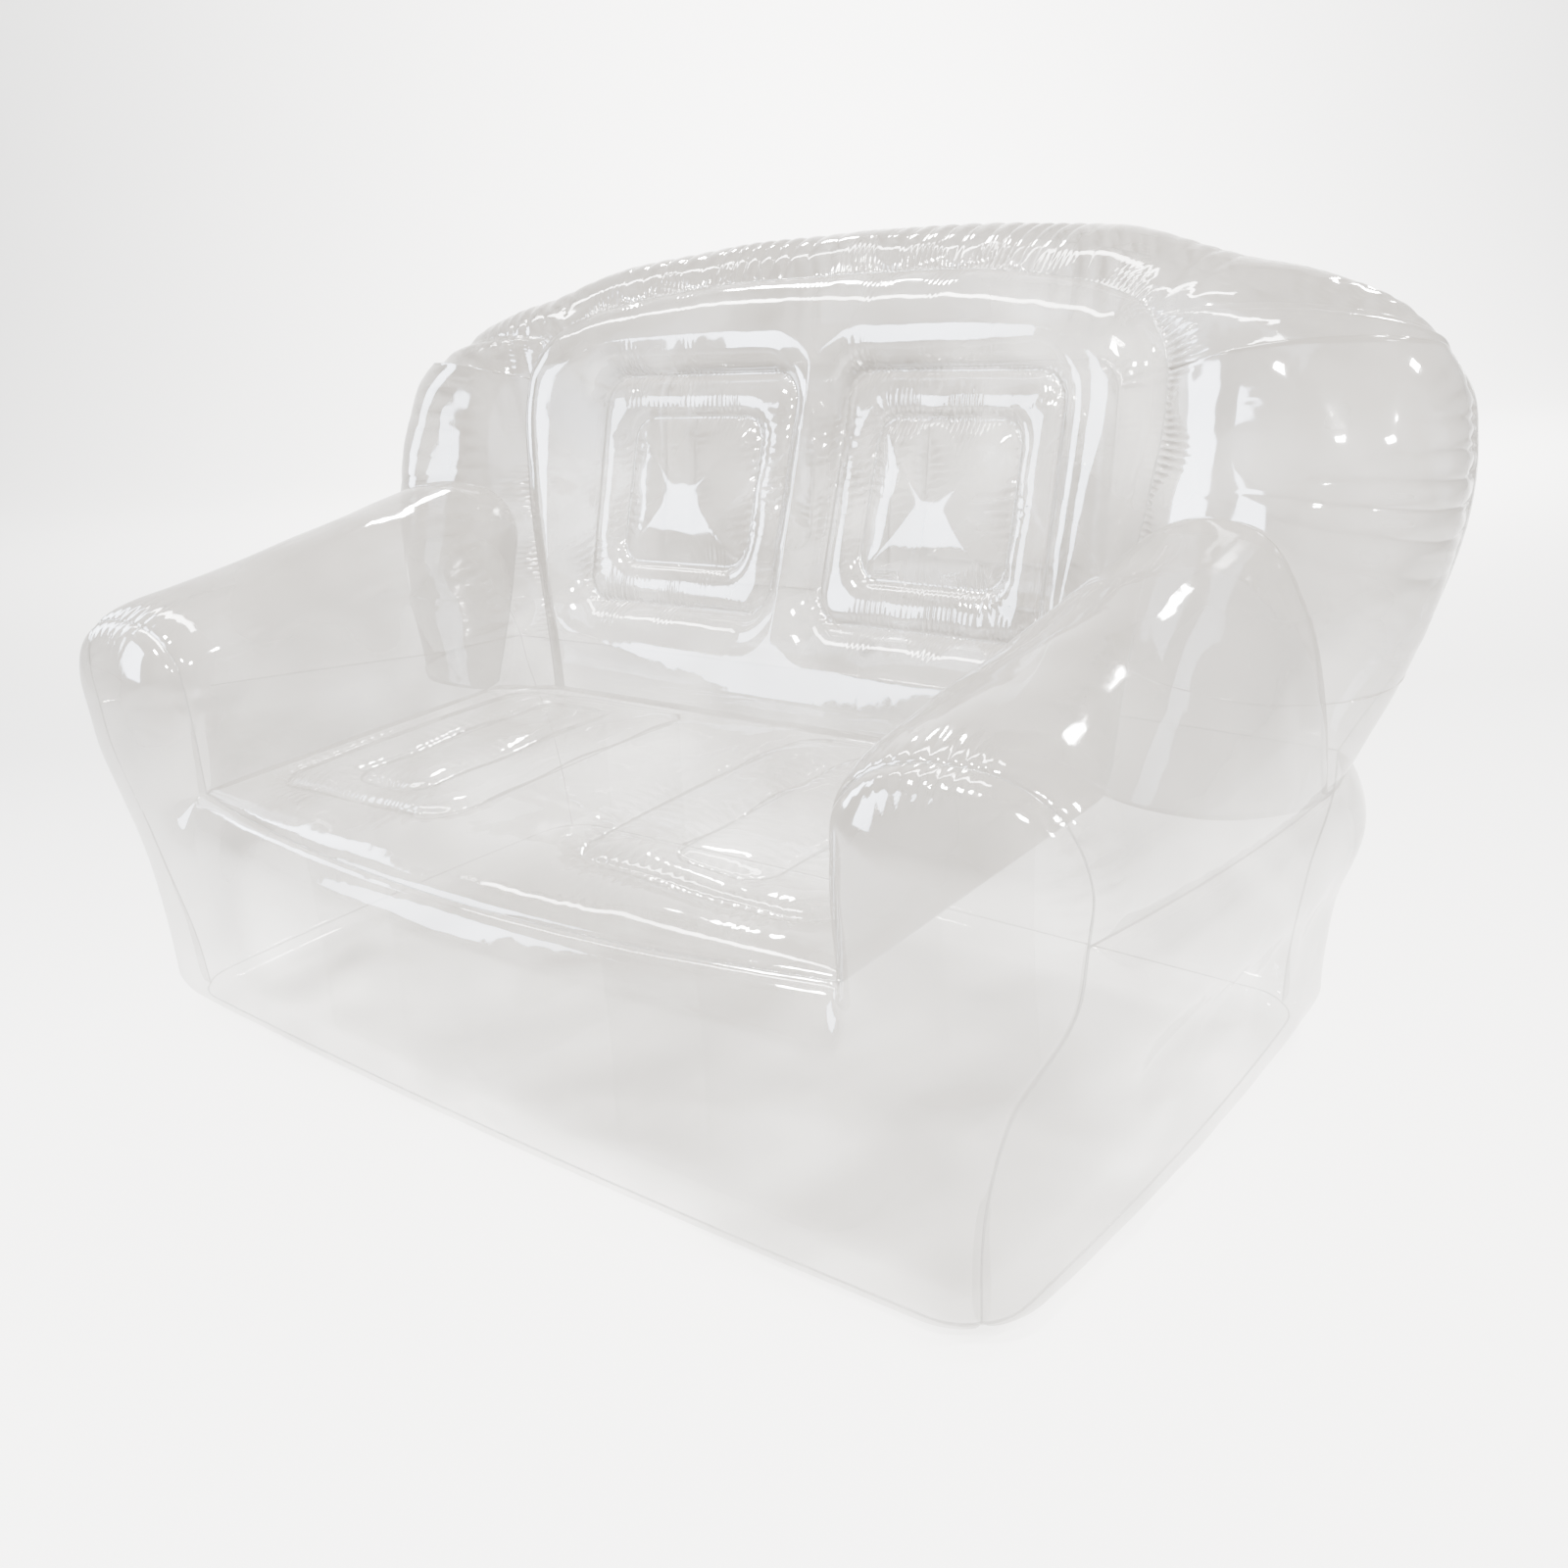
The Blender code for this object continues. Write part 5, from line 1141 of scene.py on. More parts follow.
def open_seam_lines():
    """The seams that part the panels, for the weld beads."""
    wing, arm, side = wing_sheet(), arm_sheet(), side_grid()
    half = [side[0], side[:, 0], side[-1], side[:, -1], arm[0], arm[-1], arm[:, -1]]
    lines = half + [flipped(line) for line in half]
    seat = np.linspace(-SEAT_HALF_WIDTH, SEAT_HALF_WIDTH, SEAT_SEAM_POINTS)
    lines += [seat_front(seat), seat_rear(seat), front_panel_grids()[0][0], wing[:, 0], wing[:, -1]]
    lines.append(deck_rear(np.linspace(-BACK_REAR_HALF_WIDTH, BACK_REAR_HALF_WIDTH, REAR_SEAM_POINTS)))
    lines.append(base_rear_grid()[0])
    return lines


# Shader maths


class Wire:
    """A node's output, with sums written as Python sums."""

    def __init__(self, tree, socket):
        self.tree, self.socket = tree, socket

    def worked(self, operation, *values, clamp=False):
        node = self.tree.nodes.new("ShaderNodeMath")
        node.operation = operation
        node.use_clamp = clamp
        for place, value in zip(node.inputs, values):
            if isinstance(value, Wire):
                self.tree.links.new(value.socket, place)
            else:
                place.default_value = value
        return Wire(self.tree, node.outputs[0])

    def __add__(self, other):
        return self.worked("ADD", self, other)

    def __sub__(self, other):
        return self.worked("SUBTRACT", self, other)

    def __mul__(self, other):
        return self.worked("MULTIPLY", self, other)

    def __truediv__(self, other):
        return self.worked("DIVIDE", self, other)

    def __pow__(self, other):
        return self.worked("POWER", self, other)

    def __rsub__(self, other):
        return self.worked("SUBTRACT", other, self)

    __radd__, __rmul__ = __add__, __mul__

    def held(self):
        """The value kept between 0 and 1."""
        return self.worked("ADD", self, 0.0, clamp=True)


class Finish:
    """The nodes of a material or a world, added one by one."""

    def __init__(self, owner):
        self.owner = owner
        owner.use_nodes = True
        self.tree = owner.node_tree
        self.tree.nodes.clear()

    def node(self, kind, settings=None, output=0, **sockets):
        """Adds a node of a type, with its settings first and then its sockets' values or links."""
        made = self.tree.nodes.new("ShaderNode" + kind)
        for key, value in (settings or {}).items():
            setattr(made, key, value)
        for key, value in sockets.items():
            place = made.inputs[int(key[1:]) if key[1:].isdigit() else key.replace("_", " ")]
            if isinstance(value, Wire):
                self.tree.links.new(value.socket, place)
            else:
                place.default_value = value
        return Wire(self.tree, made.outputs[output]) if made.outputs else None

    def grain(self, strength, distance, **noise):
        """Noise over a piece and the bumps that it makes, with the places it is worked out from."""
        place = self.node("TexCoord", output=3)
        grain = self.node("TexNoise", Vector=place, **noise)
        return place, grain, self.node("Bump", Height=grain, Strength=strength, Distance=distance)

    def veiled(self, share, clear, gloss):
        """Ends a material that shows gloss over a share of it, and lets through what is behind the rest."""
        through = self.node("BsdfTransparent", Color=(*clear, 1.0))
        return self.done(self.node("MixShader", s0=share, s1=through, s2=gloss))

    def done(self, shader, kind="OutputMaterial"):
        self.node(kind, Surface=shader)
        return self.owner


def film_finish(name, looks, haze_share=1.0, clear=None, contact=0.0):
    """Clear film: what is behind it shows through, with a haze and gloss that grows edge-on. Painted shade
    greys the haze higher up, in its folds and where the floor panel lies on the floor; painted reflections
    mottle it in patches.
    """
    finish = Finish(bpy.data.materials.new(name))
    place, _, bump = finish.grain(1.0, looks.ripple, Scale=looks.ripple_scale, Detail=2.5, Roughness=0.5)
    edge = finish.node("LayerWeight", Blend=0.22, Normal=bump, output=1)
    # Painted reflections: noise patches that mottle the haze, standing in for the room reflected in slack
    # film.
    patches = finish.node("TexNoise", Vector=place, Scale=3.8, Detail=1.6, Roughness=0.5, Distortion=0.6)
    height = finish.node("SeparateXYZ", Vector=place, output=2)
    # Painted light and shade: the haze share grows with height, so the film is greyer high up and clearer
    # low down, standing in for the bright floor reflected in its lower parts. The haze variable carries real
    # haze, this painted shade, the edge gloss, the painted fold shade and the painted contact shade.
    haze = (height / looks.painted_shade_height).held() * (looks.haze_and_painted_shade_high - looks.haze_and_painted_shade_low) + looks.haze_and_painted_shade_low
    haze = haze + (patches - 0.5) * looks.painted_reflection_patches + edge**2.0 * looks.edge_gloss
    # Painted shade in the folds: the deeper a fold, the greyer the film, standing in for the dark lines that
    # creases show.
    folds = finish.node("Attribute", {"attribute_name": "fold_depth"}, output=2)
    haze = haze + (folds / looks.fold_depth).held() * looks.painted_fold_shade
    # Painted contact shade: the floor panel's film is greyer where it lies on the floor.
    if contact:
        haze = haze + (1.0 - height / looks.contact_height).held() * contact
    gloss = finish.node(
        "BsdfPrincipled",
        Base_Color=(*looks.film_tint, 1.0),
        Roughness=looks.film_roughness,
        IOR=looks.film_gloss,
        Normal=bump,
    )
    return finish.veiled((haze * haze_share).held(), clear or looks.film_clear, gloss)


def weld_finish(name, looks):
    """Welded film: two layers melted into one, darker and less clear than film."""
    finish = Finish(bpy.data.materials.new(name))
    _, grain, bump = finish.grain(0.4, 0.0006, Scale=160.0, Detail=1.0, Roughness=0.5)
    surface = {"Base_Color": (*looks.weld_tint, 1.0), "Roughness": 0.16, "Metallic": 0.3, "IOR": 1.54}
    gloss = finish.node("BsdfPrincipled", Normal=bump, **surface)
    return finish.veiled((looks.weld_cover + (grain - 0.5) * 0.3).held(), looks.weld_clear, gloss)


def room_light(world, stage):
    """The room's light: darker than the floor, in broad uneven patches like walls and windows."""
    light = Finish(world)
    way = light.node("TexCoord")
    walls = light.node("TexNoise", Vector=way, Scale=stage.room_patches, Detail=1.0, Roughness=0.4)
    strength = (0.5 + (walls - 0.5) * 4.0).held() * (stage.room_bright - stage.room_dark) + stage.room_dark
    light.done(light.node("Background", Color=(*stage.room_color, 1.0), Strength=strength), "OutputWorld")


def valve_finish(name, looks):
    """Moulded clear vinyl: thicker than film, so greyer, with a soft moulded grain."""
    finish = Finish(bpy.data.materials.new(name))
    _, grain, bump = finish.grain(0.25, 0.0003, Scale=420.0, Detail=2.0, Roughness=0.6)
    edge = finish.node("LayerWeight", Blend=0.4, Normal=bump, output=1)
    surface = {"Base_Color": (*looks.valve_tint, 1.0), "Roughness": 0.22, "Metallic": 0.15, "IOR": 1.54}
    gloss = finish.node("BsdfPrincipled", Normal=bump, **surface)
    share = (looks.valve_cover + edge * 0.4 + (grain - 0.5) * 0.1).held()
    return finish.veiled(share, looks.valve_clear, gloss)


# Settings


def color_setting(name, description, default):
    shared = {"size": 3, "subtype": "COLOR", "min": 0.0, "max": 1.0}
    return bpy.props.FloatVectorProperty(name=name, description=description, default=default, **shared)


def share_setting(name, description, default):
    return number_setting(name, description, default, subtype="FACTOR", max=1.0)


def number_setting(name, description, default, **more):
    return bpy.props.FloatProperty(name=name, description=description, default=default, min=0.0, **more)


def length_setting(name, description, default):
    return number_setting(name, description, default, subtype="DISTANCE", unit="LENGTH", precision=5)


class LooksSettings(bpy.types.PropertyGroup):
    film_tint: color_setting("Film tint", "Colour of the film's haze and gloss", (0.25, 0.236, 0.218))
    film_clear: color_setting("Film clearness", "What one layer of film lets through", (0.955, 0.953, 0.948))
    strip_clear: color_setting("Strip clearness", "What one tie strip lets through", (0.99, 0.99, 0.988))
    weld_tint: color_setting("Weld tint", "Colour of the welds", (0.42, 0.425, 0.42))
    valve_tint: color_setting("Valve tint", "Colour of the valves' moulded vinyl", (0.50, 0.51, 0.51))
    weld_clear: color_setting("Weld clearness", "What a weld lets through", (0.9, 0.9, 0.895))
    valve_clear: color_setting("Valve clearness", "What the valves let through", (0.95, 0.955, 0.955))
    valve_cover: share_setting("Valve cover", "How much a valve hides what is behind it", 0.5)
    strip_share: share_setting("Strip haze", "A tie strip's haze beside a panel's", 0.12)
    film_roughness: share_setting("Film roughness", "How blurred the film's gloss is", 0.06)
    film_gloss: number_setting("Film gloss", "Index that makes up for gloss lying only on the haze", 2.3)
    edge_gloss: share_setting("Edge gloss", "How strongly film seen edge-on reflects", 0.5)
    # The haze share runs from the first to the second value up to the given height: real haze, with painted
    # shade that greys the film higher up.
    haze_and_painted_shade_low: share_setting("Haze low down", "How cloudy the film is face-on at the floor", 0.18)
    haze_and_painted_shade_high: share_setting("Haze high up", "How cloudy the film is face-on at the back's top", 0.7)
    painted_shade_height: length_setting("Haze height", "Where the haze is fullest", 0.55)
    # Strength of the painted reflection patches in the haze.
    painted_reflection_patches: number_setting("Haze patches", "How uneven the haze is", 1.15)
    # Painted shade in folds: how much greyer the film is drawn where it is folded, and the fold depth at
    # which that is fullest.
    painted_fold_shade: share_setting("Fold haze", "How much cloudier the film is where it is folded", 0.35)
    fold_depth: length_setting("Hazy fold depth", "Depth at which a fold is cloudiest", 0.003)
    # Painted contact shade where the floor panel lies on the floor, and how near the floor it reaches.
    painted_contact_shade: share_setting("Contact haze", "How cloudy film looks where it lies on the floor", 0.22)
    contact_height: length_setting("Contact height", "How near the floor film has to be to look so", 0.003)
    weld_cover: share_setting("Weld cover", "How much a weld hides what is behind it", 0.4)
    ripple: length_setting("Ripple", "Height of the film's slack ripples", 0.003)
    ripple_scale: number_setting("Ripple scale", "Ripples to a metre", 9.0)


class FoldSettings(bpy.types.PropertyGroup):
    fold_height: length_setting("Fold height", "Depth of the creases beside a curved seam", 0.006)
    fold_reach: length_setting("Fold reach", "How far from its seam a crease is deepest", 0.022)
    fold_pitch: length_setting("Fold pitch", "Distance from one crease to the next", 0.033)
    pleat_height: length_setting("Pleat height", "Depth of the pleats round an arm's arch", 0.0028)
    pleat_reach: length_setting("Pleat reach", "How far from its arch a pleat is deepest", 0.010)
    pleat_pitch: length_setting("Pleat pitch", "Distance from one pleat to the next", 0.0165)
    comb_height: length_setting("Comb height", "Depth of the fine pleats beside a tight weld", 0.0028)
    comb_reach: length_setting("Comb reach", "How far from its weld a fine pleat is deepest", 0.010)
    comb_pitch: length_setting("Comb pitch", "Distance from one fine pleat to the next", 0.0078)
    wrinkle_height: length_setting("Wrinkle height", "Depth of the wrinkles along a gathered weld", 0.0058)
    wrinkle_reach: length_setting("Wrinkle reach", "How far from its weld a wrinkle is deepest", 0.045)
    wrinkle_pitch: length_setting("Wrinkle pitch", "Distance from one wrinkle to the next", 0.029)
    slack_height: length_setting("Slack height", "Height of the long waves over a panel", 0.0025)
    slack_size: length_setting("Slack size", "Length of the long waves over a panel", 0.16)
    weld_width: length_setting("Weld width", "Width of a weld's bead", 0.0026)
    weld_thick: length_setting("Weld thickness", "Thickness of a weld's bead", 0.0018)
    ring_weld_width: length_setting("Ring weld width", "Width of a ring's weld", 0.0034)
    ring_weld_thick: length_setting("Ring weld thickness", "Thickness of a ring's weld", 0.0008)
    strip_bow: length_setting("Strip bow", "How far a tie strip draws in along its middle", 0.006)


class StageSettings(bpy.types.PropertyGroup):
    camera_place: bpy.props.FloatVectorProperty(
        name="Camera",
        description="Where the camera stands",
        default=(1.206, -1.269, 0.905),
        size=3,
        subtype="TRANSLATION",
        unit="LENGTH",
    )
    floor_color: color_setting("Floor", "Colour of the floor and backdrop", (0.93, 0.93, 0.93))
    room_color: color_setting("Room", "Colour of the room around the stage", (0.62, 0.63, 0.64))
    room_bright: number_setting("Bright walls", "Strength of the room's light from its bright sides", 1.6)
    room_dark: number_setting("Dark walls", "Strength of the room's light from its dark sides", 0.25)
    room_patches: number_setting("Room patches", "How finely its bright and dark sides alternate", 1.3)


def folds_beside(kind, line, height=1.0, reach=1.0, pitch=1.0):
    """The folds of a kind that a weld leaves beside its line, at shares of their usual sizes."""
    folds = bpy.context.scene.chair_folds
    usual = [getattr(folds, f"{kind}_{size}") for size in ("height", "reach", "pitch")]
    return (line, usual[0] * height, usual[1] * reach, usual[2] * pitch, comb if kind == "comb" else waver)


def slack(grid, inward, seed, share=1.0):
    folds = bpy.context.scene.chair_folds
    return slackened(grid, inward, folds.slack_height * share, folds.slack_size, seed)


@cache
def finish_named(name):
    """A finish of this name, made the first time that a piece asks for it."""
    looks = bpy.context.scene.chair_looks
    if name == "weld":
        return weld_finish(name, looks)
    if name == "clear_valve":
        return valve_finish(name, looks)
    if name == "tie_strip":
        return film_finish(name, looks, looks.strip_share, looks.strip_clear)
    # The floor panel's film takes the painted contact shade.
    return film_finish(name, looks, contact=looks.painted_contact_shade if name == "floor_film" else 0.0)


# Operators, one for each piece or group of like pieces


class CHAIR_OT_floor_panel(bpy.types.Operator):
    """Adds the floor panel, flat on the floor with a rim that curls up"""

    bl_idname = "chair.floor_panel"
    bl_label = "Floor Panel"

    def execute(self, context):
        piece = add_film("floor_panel", [floor_grid()], finish="floor_film")
        piece.visible_shadow = True
        return {"FINISHED"}


class CHAIR_OT_front_panel(bpy.types.Operator):
    """Adds the front panel: the base's front and both arm fronts in one sheet"""

    bl_idname = "chair.front_panel"
    bl_label = "Front Panel"

    def execute(self, context):
        rim = arm_front()[: 2 * LOBE_CELLS + 1]
        pleats = [folds_beside("pleat", rim), folds_beside("pleat", flipped(rim))]
        grids, depths = [], []
        for index, grid in enumerate(front_panel_grids()):
            folded, depth = pucker(grid, pleats if index else [], facing(grid, DEPTH))
            grids.append(folded)
            depths.append(depth)
        grids[0] = slack(grids[0], 1.0, seed=3, share=0.6)
        add_film("front_panel", grids, depths)
        return {"FINISHED"}


class CHAIR_OT_side_panels(bpy.types.Operator):
    """Adds the panel at each side of the base"""

    bl_idname = "chair.side_panels"
    bl_label = "Side Panels"

    def execute(self, context):
        grid = slack(side_grid(), 1.0, seed=5)
        add_film("side_panel_right", [grid])
        add_film("side_panel_left", [flipped(grid)])
        return {"FINISHED"}


class CHAIR_OT_base_rear_panel(bpy.types.Operator):
    """Adds the panel across the back of the base"""

    bl_idname = "chair.base_rear_panel"
    bl_label = "Base Rear Panel"

    def execute(self, context):
        piece = add_film("base_rear_panel", [seated(slack(base_rear_grid(), -1.0, seed=19), "base")])
        cut_for_valve(piece.data, "base")
        return {"FINISHED"}


class CHAIR_OT_seat_top(bpy.types.Operator):
    """Adds the seat's top sheet, drawn down along its rings of weld"""

    bl_idname = "chair.seat_top"
    bl_label = "Seat Top"

    def execute(self, context):
        grid = seat_grid()
        inward = -facing(grid, UP)
        grid = slack(grid, inward, seed=7, share=1.2)
        seams = ring_seams(on_seat, SEAT_RING_OUTER, SEAT_RING_INNER, *SEAT_RING_FOLD_SHARES)
        grid, depth = pucker(grid, seams, inward)
        add_film("seat_top_sheet", [grid], [depth])
        return {"FINISHED"}


class CHAIR_OT_deck(bpy.types.Operator):
    """Adds the inner sheet that parts the two chambers"""

    bl_idname = "chair.deck"
    bl_label = "Deck Sheet"

    def execute(self, context):
        deck = deck_grid()
        deck[..., 2] -= LAP
        add_film("deck_sheet", [deck, flipped(deck)], finish="tie_strip")
        return {"FINISHED"}


class CHAIR_OT_arms(bpy.types.Operator):
    """Adds the rolled sheet of each arm, with folds round its front arch and where it meets the back"""

    bl_idname = "chair.arms"
    bl_label = "Arms"

    def execute(self, context):
        grid = arm_sheet()
        inward = -facing(grid, UP)
        grid = slack(grid, inward, seed=11, share=0.6)
        seams = [folds_beside("pleat", grid[0, : 2 * LOBE_CELLS + 1]), folds_beside("pleat", grid[-1], 0.6)]
        grid, depth = pucker(grid, seams, inward)
        add_film("arm_sheet_right", [grid], [depth])
        add_film("arm_sheet_left", [flipped(grid)], [depth])
        return {"FINISHED"}


class CHAIR_OT_back_wing(bpy.types.Operator):
    """Adds the horseshoe of film round the back, puckered along both of its welds"""

    bl_idname = "chair.back_wing"
    bl_label = "Back Wing"

    def execute(self, context):
        grid = refined(wing_sheet(), up=3)
        inward = facing(grid, DEPTH)
        grid = slack(grid, inward, seed=13)
        front, rear = grid[:, 0], grid[:, -1]
        seams = [folds_beside("fold", rear), folds_beside("comb", front, 1.3), folds_beside("wrinkle", rear)]
        grid, depth = pucker(grid, seams, inward)
        add_film("back_wing_sheet", [grid], [depth])
        return {"FINISHED"}


class CHAIR_OT_back_face(bpy.types.Operator):
    """Adds the face of the back, with its two windows"""

    bl_idname = "chair.back_face"
    bl_label = "Back Face"

    def execute(self, context):
        grid = refined(face_sheet(), across=2)
        seams = ring_seams(on_face, BACK_RING_OUTER, BACK_RING_INNER)
        seams.append(folds_beside("comb", grid[-1]))
        grid, depth = pucker(grid, seams, facing(face_sheet(), DEPTH))
        add_film("back_face_panel", [grid], [depth])
        return {"FINISHED"}


class CHAIR_OT_back_rear(bpy.types.Operator):
    """Adds the rear of the back, with its two windows"""

    bl_idname = "chair.back_rear"
    bl_label = "Back Rear"

    def execute(self, context):
        inward = -facing(rear_sheet(), DEPTH)
        grid = slack(rear_sheet(), inward, seed=17)
        seams = ring_seams(on_rear, BACK_RING_OUTER, BACK_RING_INNER)
        seams.append(folds_beside("fold", outline(grid), 0.8))
        grid, depth = pucker(grid, seams, inward)
        piece = add_film("back_rear_panel", [seated(grid, "back")], [depth])
        cut_for_valve(piece.data, "back")
        return {"FINISHED"}


class CHAIR_OT_tie_rings(bpy.types.Operator):
    """Adds the strips of film that tie the seat to the floor panel and the back's face to its rear"""

    bl_idname = "chair.tie_rings"
    bl_label = "Tie Rings"

    def execute(self, context):
        bow = context.scene.chair_folds.strip_bow
        seat, face, rear = (tree_of(grid) for grid in (seat_grid(), face_sheet(), rear_sheet()))
        rings = (("outer", SEAT_RING_OUTER, BACK_RING_OUTER), ("inner", SEAT_RING_INNER, BACK_RING_INNER))
        for word, side in (("right", 1.0), ("left", -1.0)):
            for kind, seat_ring, back_ring in rings:
                loop = ring_loop(seat_ring) * (side, 1.0)
                low = np.column_stack([loop, np.full(len(loop), FILM)])
                high = self.reached(seat, low, (0.0, 0.0, 1.0))
                self.add(f"seat_ring_{kind}_{word}", low, high, bow)
                loop = ring_loop(back_ring) * (side, 1.0)
                inside = (face_y(*loop.T) + rear_y(*loop.T)) / 2
                middle = np.column_stack([loop[:, 0], inside, loop[:, 1]])
                near = self.reached(face, middle, (0.0, -1.0, 0.0))
                far = self.reached(rear, middle, (0.0, 1.0, 0.0))
                self.add(f"back_ring_{kind}_{word}", near, far, bow)
        return {"FINISHED"}

    def reached(self, tree, points, way):
        """Where straight lines from these points, all the same way, come to a panel."""
        return np.array([meet(tree, point, point + way, FILM) for point in points])

    def add(self, name, low, high, bow):
        low, high = np.concatenate([low, low[:1]]), np.concatenate([high, high[:1]])
        data = film_mesh(name + "_strip", [strip_grid(low, high, bow)])
        add_piece(name + "_strip", data, "tie_strip", [name])


class CHAIR_OT_welds(bpy.types.Operator):
    """Adds the weld along every seam between panels, and along every ring"""

    bl_idname = "chair.welds"
    bl_label = "Welds"

    def execute(self, context):
        folds = context.scene.chair_folds
        self.add(context, "seam_welds", open_seam_lines(), folds.weld_width, folds.weld_thick)
        self.add(context, "ring_welds", ring_weld_lines(), folds.ring_weld_width, folds.ring_weld_thick)
        return {"FINISHED"}

    def add(self, context, name, lines, width, thick):
        obj = bpy.data.objects.new(name, bead_mesh(name, lines, width, thick))
        context.scene.collection.objects.link(obj)
        obj.data.materials.append(finish_named("weld"))
        obj.visible_shadow = False
        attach(obj, "root")


class CHAIR_OT_valves(bpy.types.Operator):
    """Gives the two filling valves their moulded finish"""

    bl_idname = "chair.valves"
    bl_label = "Valves"

    def execute(self, context):
        for name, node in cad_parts.items():
            if "_valve_" in name:
                node.data.materials.clear()
                node.data.materials.append(finish_named("clear_valve"))
        return {"FINISHED"}


# Stage


def add_camera(place):
    data = bpy.data.cameras.new("camera")
    data.sensor_fit = "HORIZONTAL"
    data.sensor_width = SENSOR_WIDTH
    data.lens = SENSOR_WIDTH * CAMERA_FOCAL_PIXELS / PHOTO_PIXELS
    camera = bpy.data.objects.new("camera", data)
    back = CAMERA_BACK.normalized()
    right = CAMERA_UP.cross(back).normalized()
    up = back.cross(right)
    turn = Matrix((right, up, back)).transposed().to_4x4()
    camera.matrix_world = Matrix.Translation(place) @ turn
    bpy.context.scene.collection.objects.link(camera)
    bpy.context.scene.camera = camera


def add_lamp(name, place, aim, size, power, color, lights_floor):
    data = bpy.data.lights.new(name, "AREA")
    data.shape = "RECTANGLE"
    data.size, data.size_y = size
    data.energy = power
    data.color = color
    lamp = bpy.data.objects.new(name, data)
    lamp.location = place
    lamp.rotation_euler = (Vector(aim) - Vector(place)).to_track_quat("-Z", "Y").to_euler()
    lamp.visible_diffuse = lights_floor
    bpy.context.scene.collection.objects.link(lamp)


CHAIR_MIDDLE = (0.1, 0.0, 0.3)
BACKDROP_MIDDLE = (-3.6, 6.0, 2.4)
SPOT_SIZE = (0.36, 0.30)
WARM_WHITE = (1.0, 0.98, 0.95)
WINDOW_BLUE = (0.80, 0.87, 1.0)

# Name, place, aim, width and height, power and colour of each lamp, and whether it lights the floor too
LAMPS = (
    ("ceiling_front_left", (-0.6, -1.6, 2.8), CHAIR_MIDDLE, SPOT_SIZE, 210.0, WARM_WHITE, True),
    ("ceiling_right", (2.6, 0.7, 3.1), CHAIR_MIDDLE, SPOT_SIZE, 210.0, WARM_WHITE, True),
    ("ceiling_front_right", (2.6, -1.2, 2.65), CHAIR_MIDDLE, SPOT_SIZE, 170.0, WARM_WHITE, True),
    ("ceiling_front", (1.05, -2.05, 2.7), CHAIR_MIDDLE, SPOT_SIZE, 170.0, WARM_WHITE, True),
    ("ceiling_rear", (0.6, 2.4, 2.6), CHAIR_MIDDLE, SPOT_SIZE, 120.0, WARM_WHITE, True),
    ("ceiling_left", (-2.0, 1.5, 3.2), CHAIR_MIDDLE, SPOT_SIZE, 150.0, WARM_WHITE, True),
    ("window_left", (-2.8, -0.4, 1.5), CHAIR_MIDDLE, (0.75, 1.5), 115.0, WINDOW_BLUE, False),
    ("window_front_left", (-2.1, -2.1, 1.3), CHAIR_MIDDLE, (0.95, 1.6), 140.0, WINDOW_BLUE, False),
    ("ceiling_strip", (-1.5, 0.0, 3.0), (-1.5, 0.001, 0.0), (2.8, 0.22), 100.0, WARM_WHITE, False),
    ("backdrop_wash", (-1.6, 3.2, 4.2), BACKDROP_MIDDLE, (3.0, 1.0), 2900.0, WARM_WHITE, True),
)


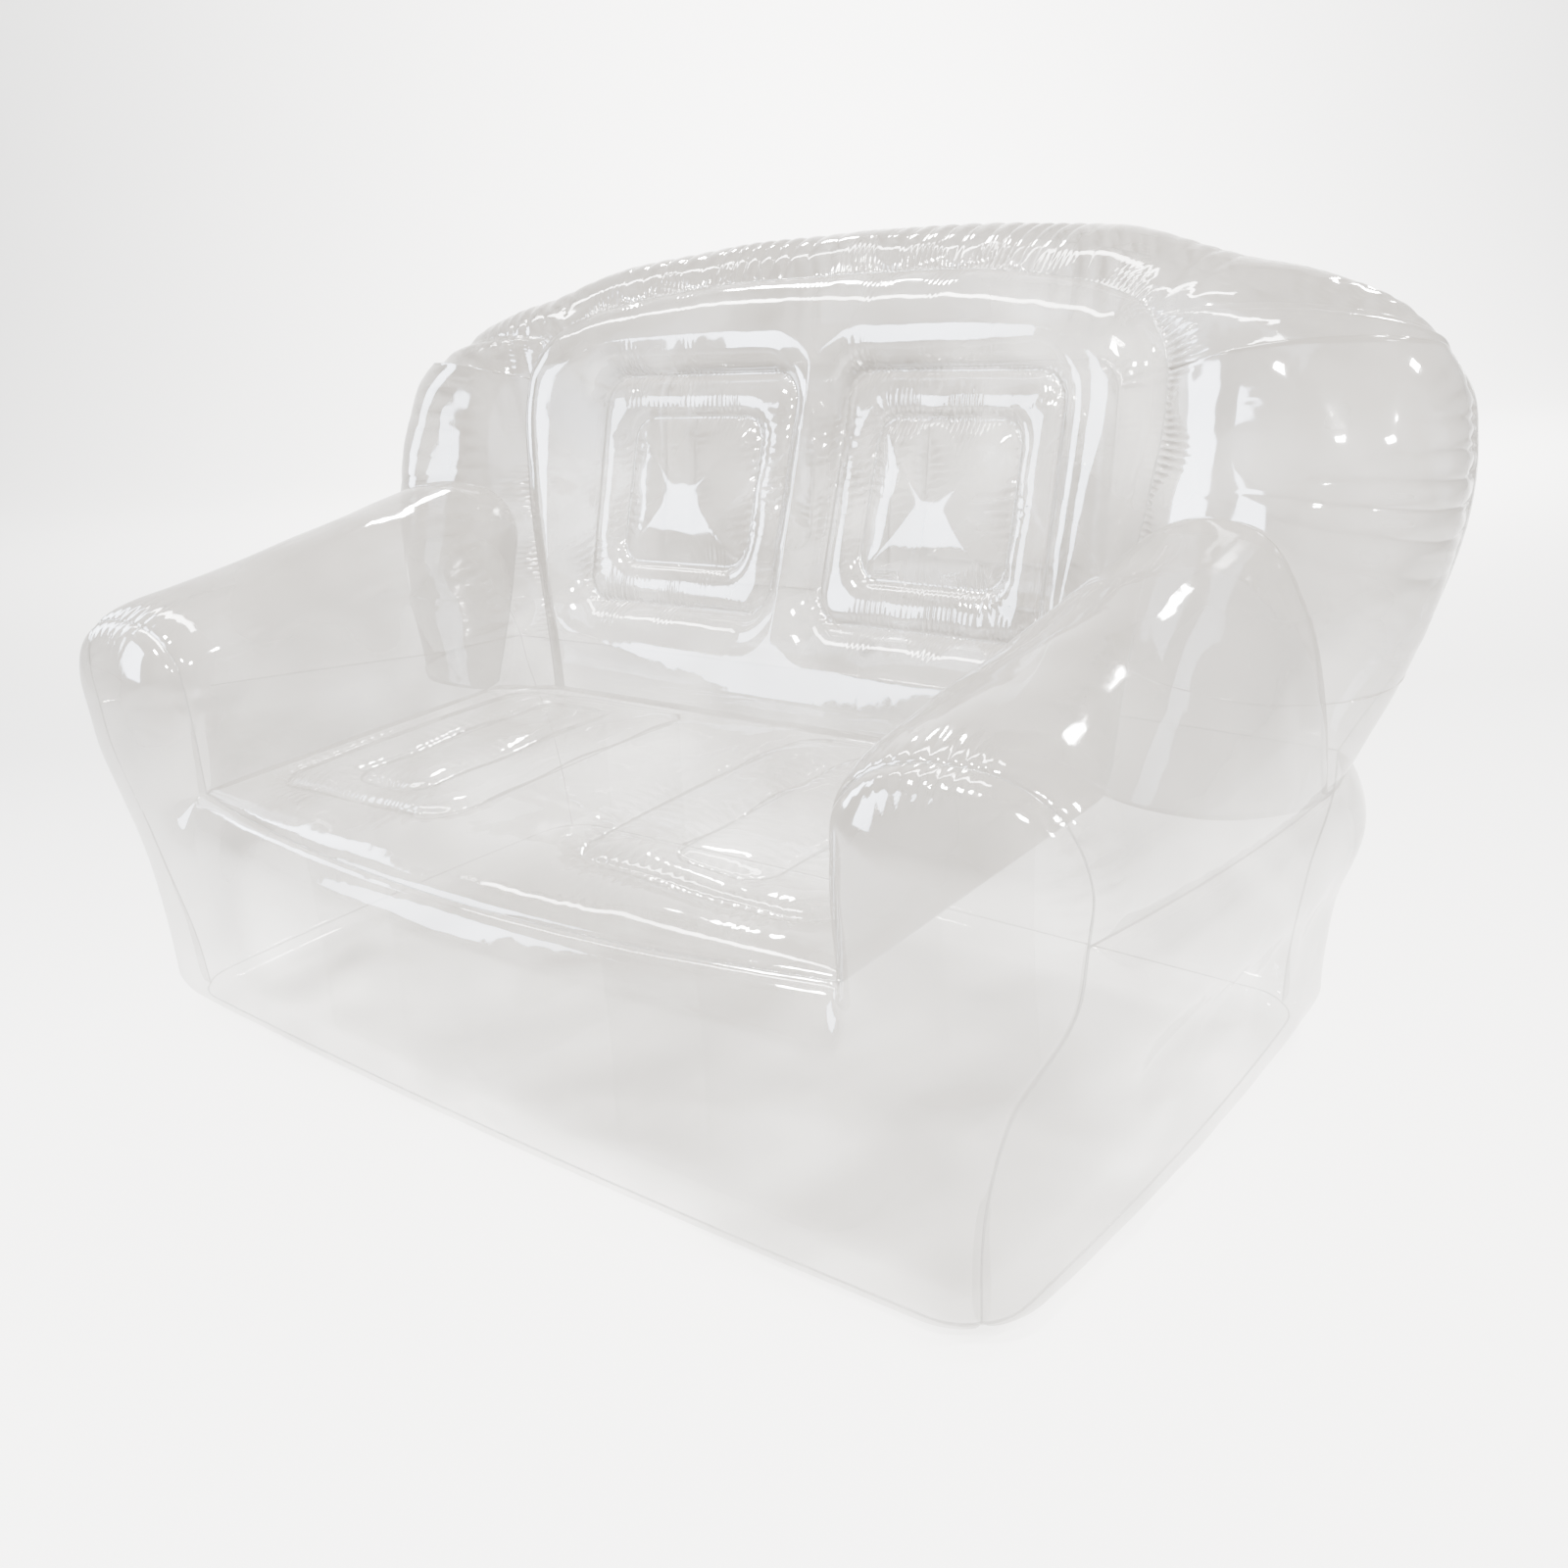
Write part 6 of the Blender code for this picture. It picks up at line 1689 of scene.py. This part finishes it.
class CHAIR_OT_stage(bpy.types.Operator):
    """Adds the floor and backdrop, the room's light, the lamps and the camera"""

    bl_idname = "chair.stage"
    bl_label = "Stage"

    def execute(self, context):
        stage = context.scene.chair_stage
        self.add_floor(context, stage)
        world = bpy.data.worlds.new("room")
        context.scene.world = world
        room_light(world, stage)
        for lamp in LAMPS:
            add_lamp(*lamp)
        add_camera(stage.camera_place)
        context.scene.cycles.transparent_max_bounces = 48
        context.scene.cycles.max_bounces = 5
        context.scene.cycles.diffuse_bounces = 2
        context.scene.cycles.glossy_bounces = 3
        return {"FINISHED"}

    def add_floor(self, context, stage):
        finish = Finish(bpy.data.materials.new("floor_paint"))
        _, _, bump = finish.grain(0.02, 0.001, Scale=40.0, Detail=2.0)
        color = (*stage.floor_color, 1.0)
        material = finish.done(finish.node("BsdfPrincipled", Base_Color=color, Roughness=0.75, Normal=bump))
        rows = [(FLOOR_NEAR, -FLOOR_DROP)]
        for angle in even(BACKDROP_STEPS) * math.pi / 2:
            rise = BACKDROP_RADIUS * (1.0 - math.cos(angle)) - FLOOR_DROP
            rows.append((FLOOR_BEND + BACKDROP_RADIUS * math.sin(angle), rise))
        rows.append((FLOOR_BEND + BACKDROP_RADIUS, BACKDROP_TOP))
        verts = [(x, y, z) for y, z in rows for x in (-FLOOR_HALF_SPAN, FLOOR_HALF_SPAN)]
        faces = [(2 * i, 2 * i + 1, 2 * i + 3, 2 * i + 2) for i in range(len(rows) - 1)]
        data = bpy.data.meshes.new("floor_and_backdrop")
        data.from_pydata(verts, [], faces)
        data.shade_smooth()
        data.materials.append(material)
        floor = bpy.data.objects.new("floor_and_backdrop", data)
        context.scene.collection.objects.link(floor)
        floor.rotation_euler.z = math.atan2(CAMERA_BACK.x, -CAMERA_BACK.y)


PIECES = (
    CHAIR_OT_floor_panel,
    CHAIR_OT_front_panel,
    CHAIR_OT_side_panels,
    CHAIR_OT_base_rear_panel,
    CHAIR_OT_seat_top,
    CHAIR_OT_deck,
    CHAIR_OT_arms,
    CHAIR_OT_back_wing,
    CHAIR_OT_back_face,
    CHAIR_OT_back_rear,
    CHAIR_OT_tie_rings,
    CHAIR_OT_welds,
    CHAIR_OT_valves,
    CHAIR_OT_stage,
)


class CHAIR_PT_panel(bpy.types.Panel):
    """Lists the chair's pieces and its settings"""

    bl_idname = "CHAIR_PT_panel"
    bl_label = "Inflatable Chair"
    bl_space_type = "VIEW_3D"
    bl_region_type = "UI"
    bl_category = "Chair"

    def draw(self, context):
        for piece in PIECES:
            self.layout.operator(piece.bl_idname)
        for group in (context.scene.chair_looks, context.scene.chair_folds, context.scene.chair_stage):
            box = self.layout.box()
            for name in group.__annotations__:
                box.prop(group, name)


CLASSES = (LooksSettings, FoldSettings, StageSettings, *PIECES, CHAIR_PT_panel)


def register():
    for item in CLASSES:
        bpy.utils.register_class(item)
    bpy.types.Scene.chair_looks = bpy.props.PointerProperty(type=LooksSettings)
    bpy.types.Scene.chair_folds = bpy.props.PointerProperty(type=FoldSettings)
    bpy.types.Scene.chair_stage = bpy.props.PointerProperty(type=StageSettings)


def unregister():
    del bpy.types.Scene.chair_stage
    del bpy.types.Scene.chair_folds
    del bpy.types.Scene.chair_looks
    for item in reversed(CLASSES):
        bpy.utils.unregister_class(item)


def main():
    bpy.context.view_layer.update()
    register()
    for piece in PIECES:
        group, name = piece.bl_idname.split(".")
        getattr(getattr(bpy.ops, group), name)()
    bpy.context.view_layer.update()


if __name__ == "__main__":
    main()
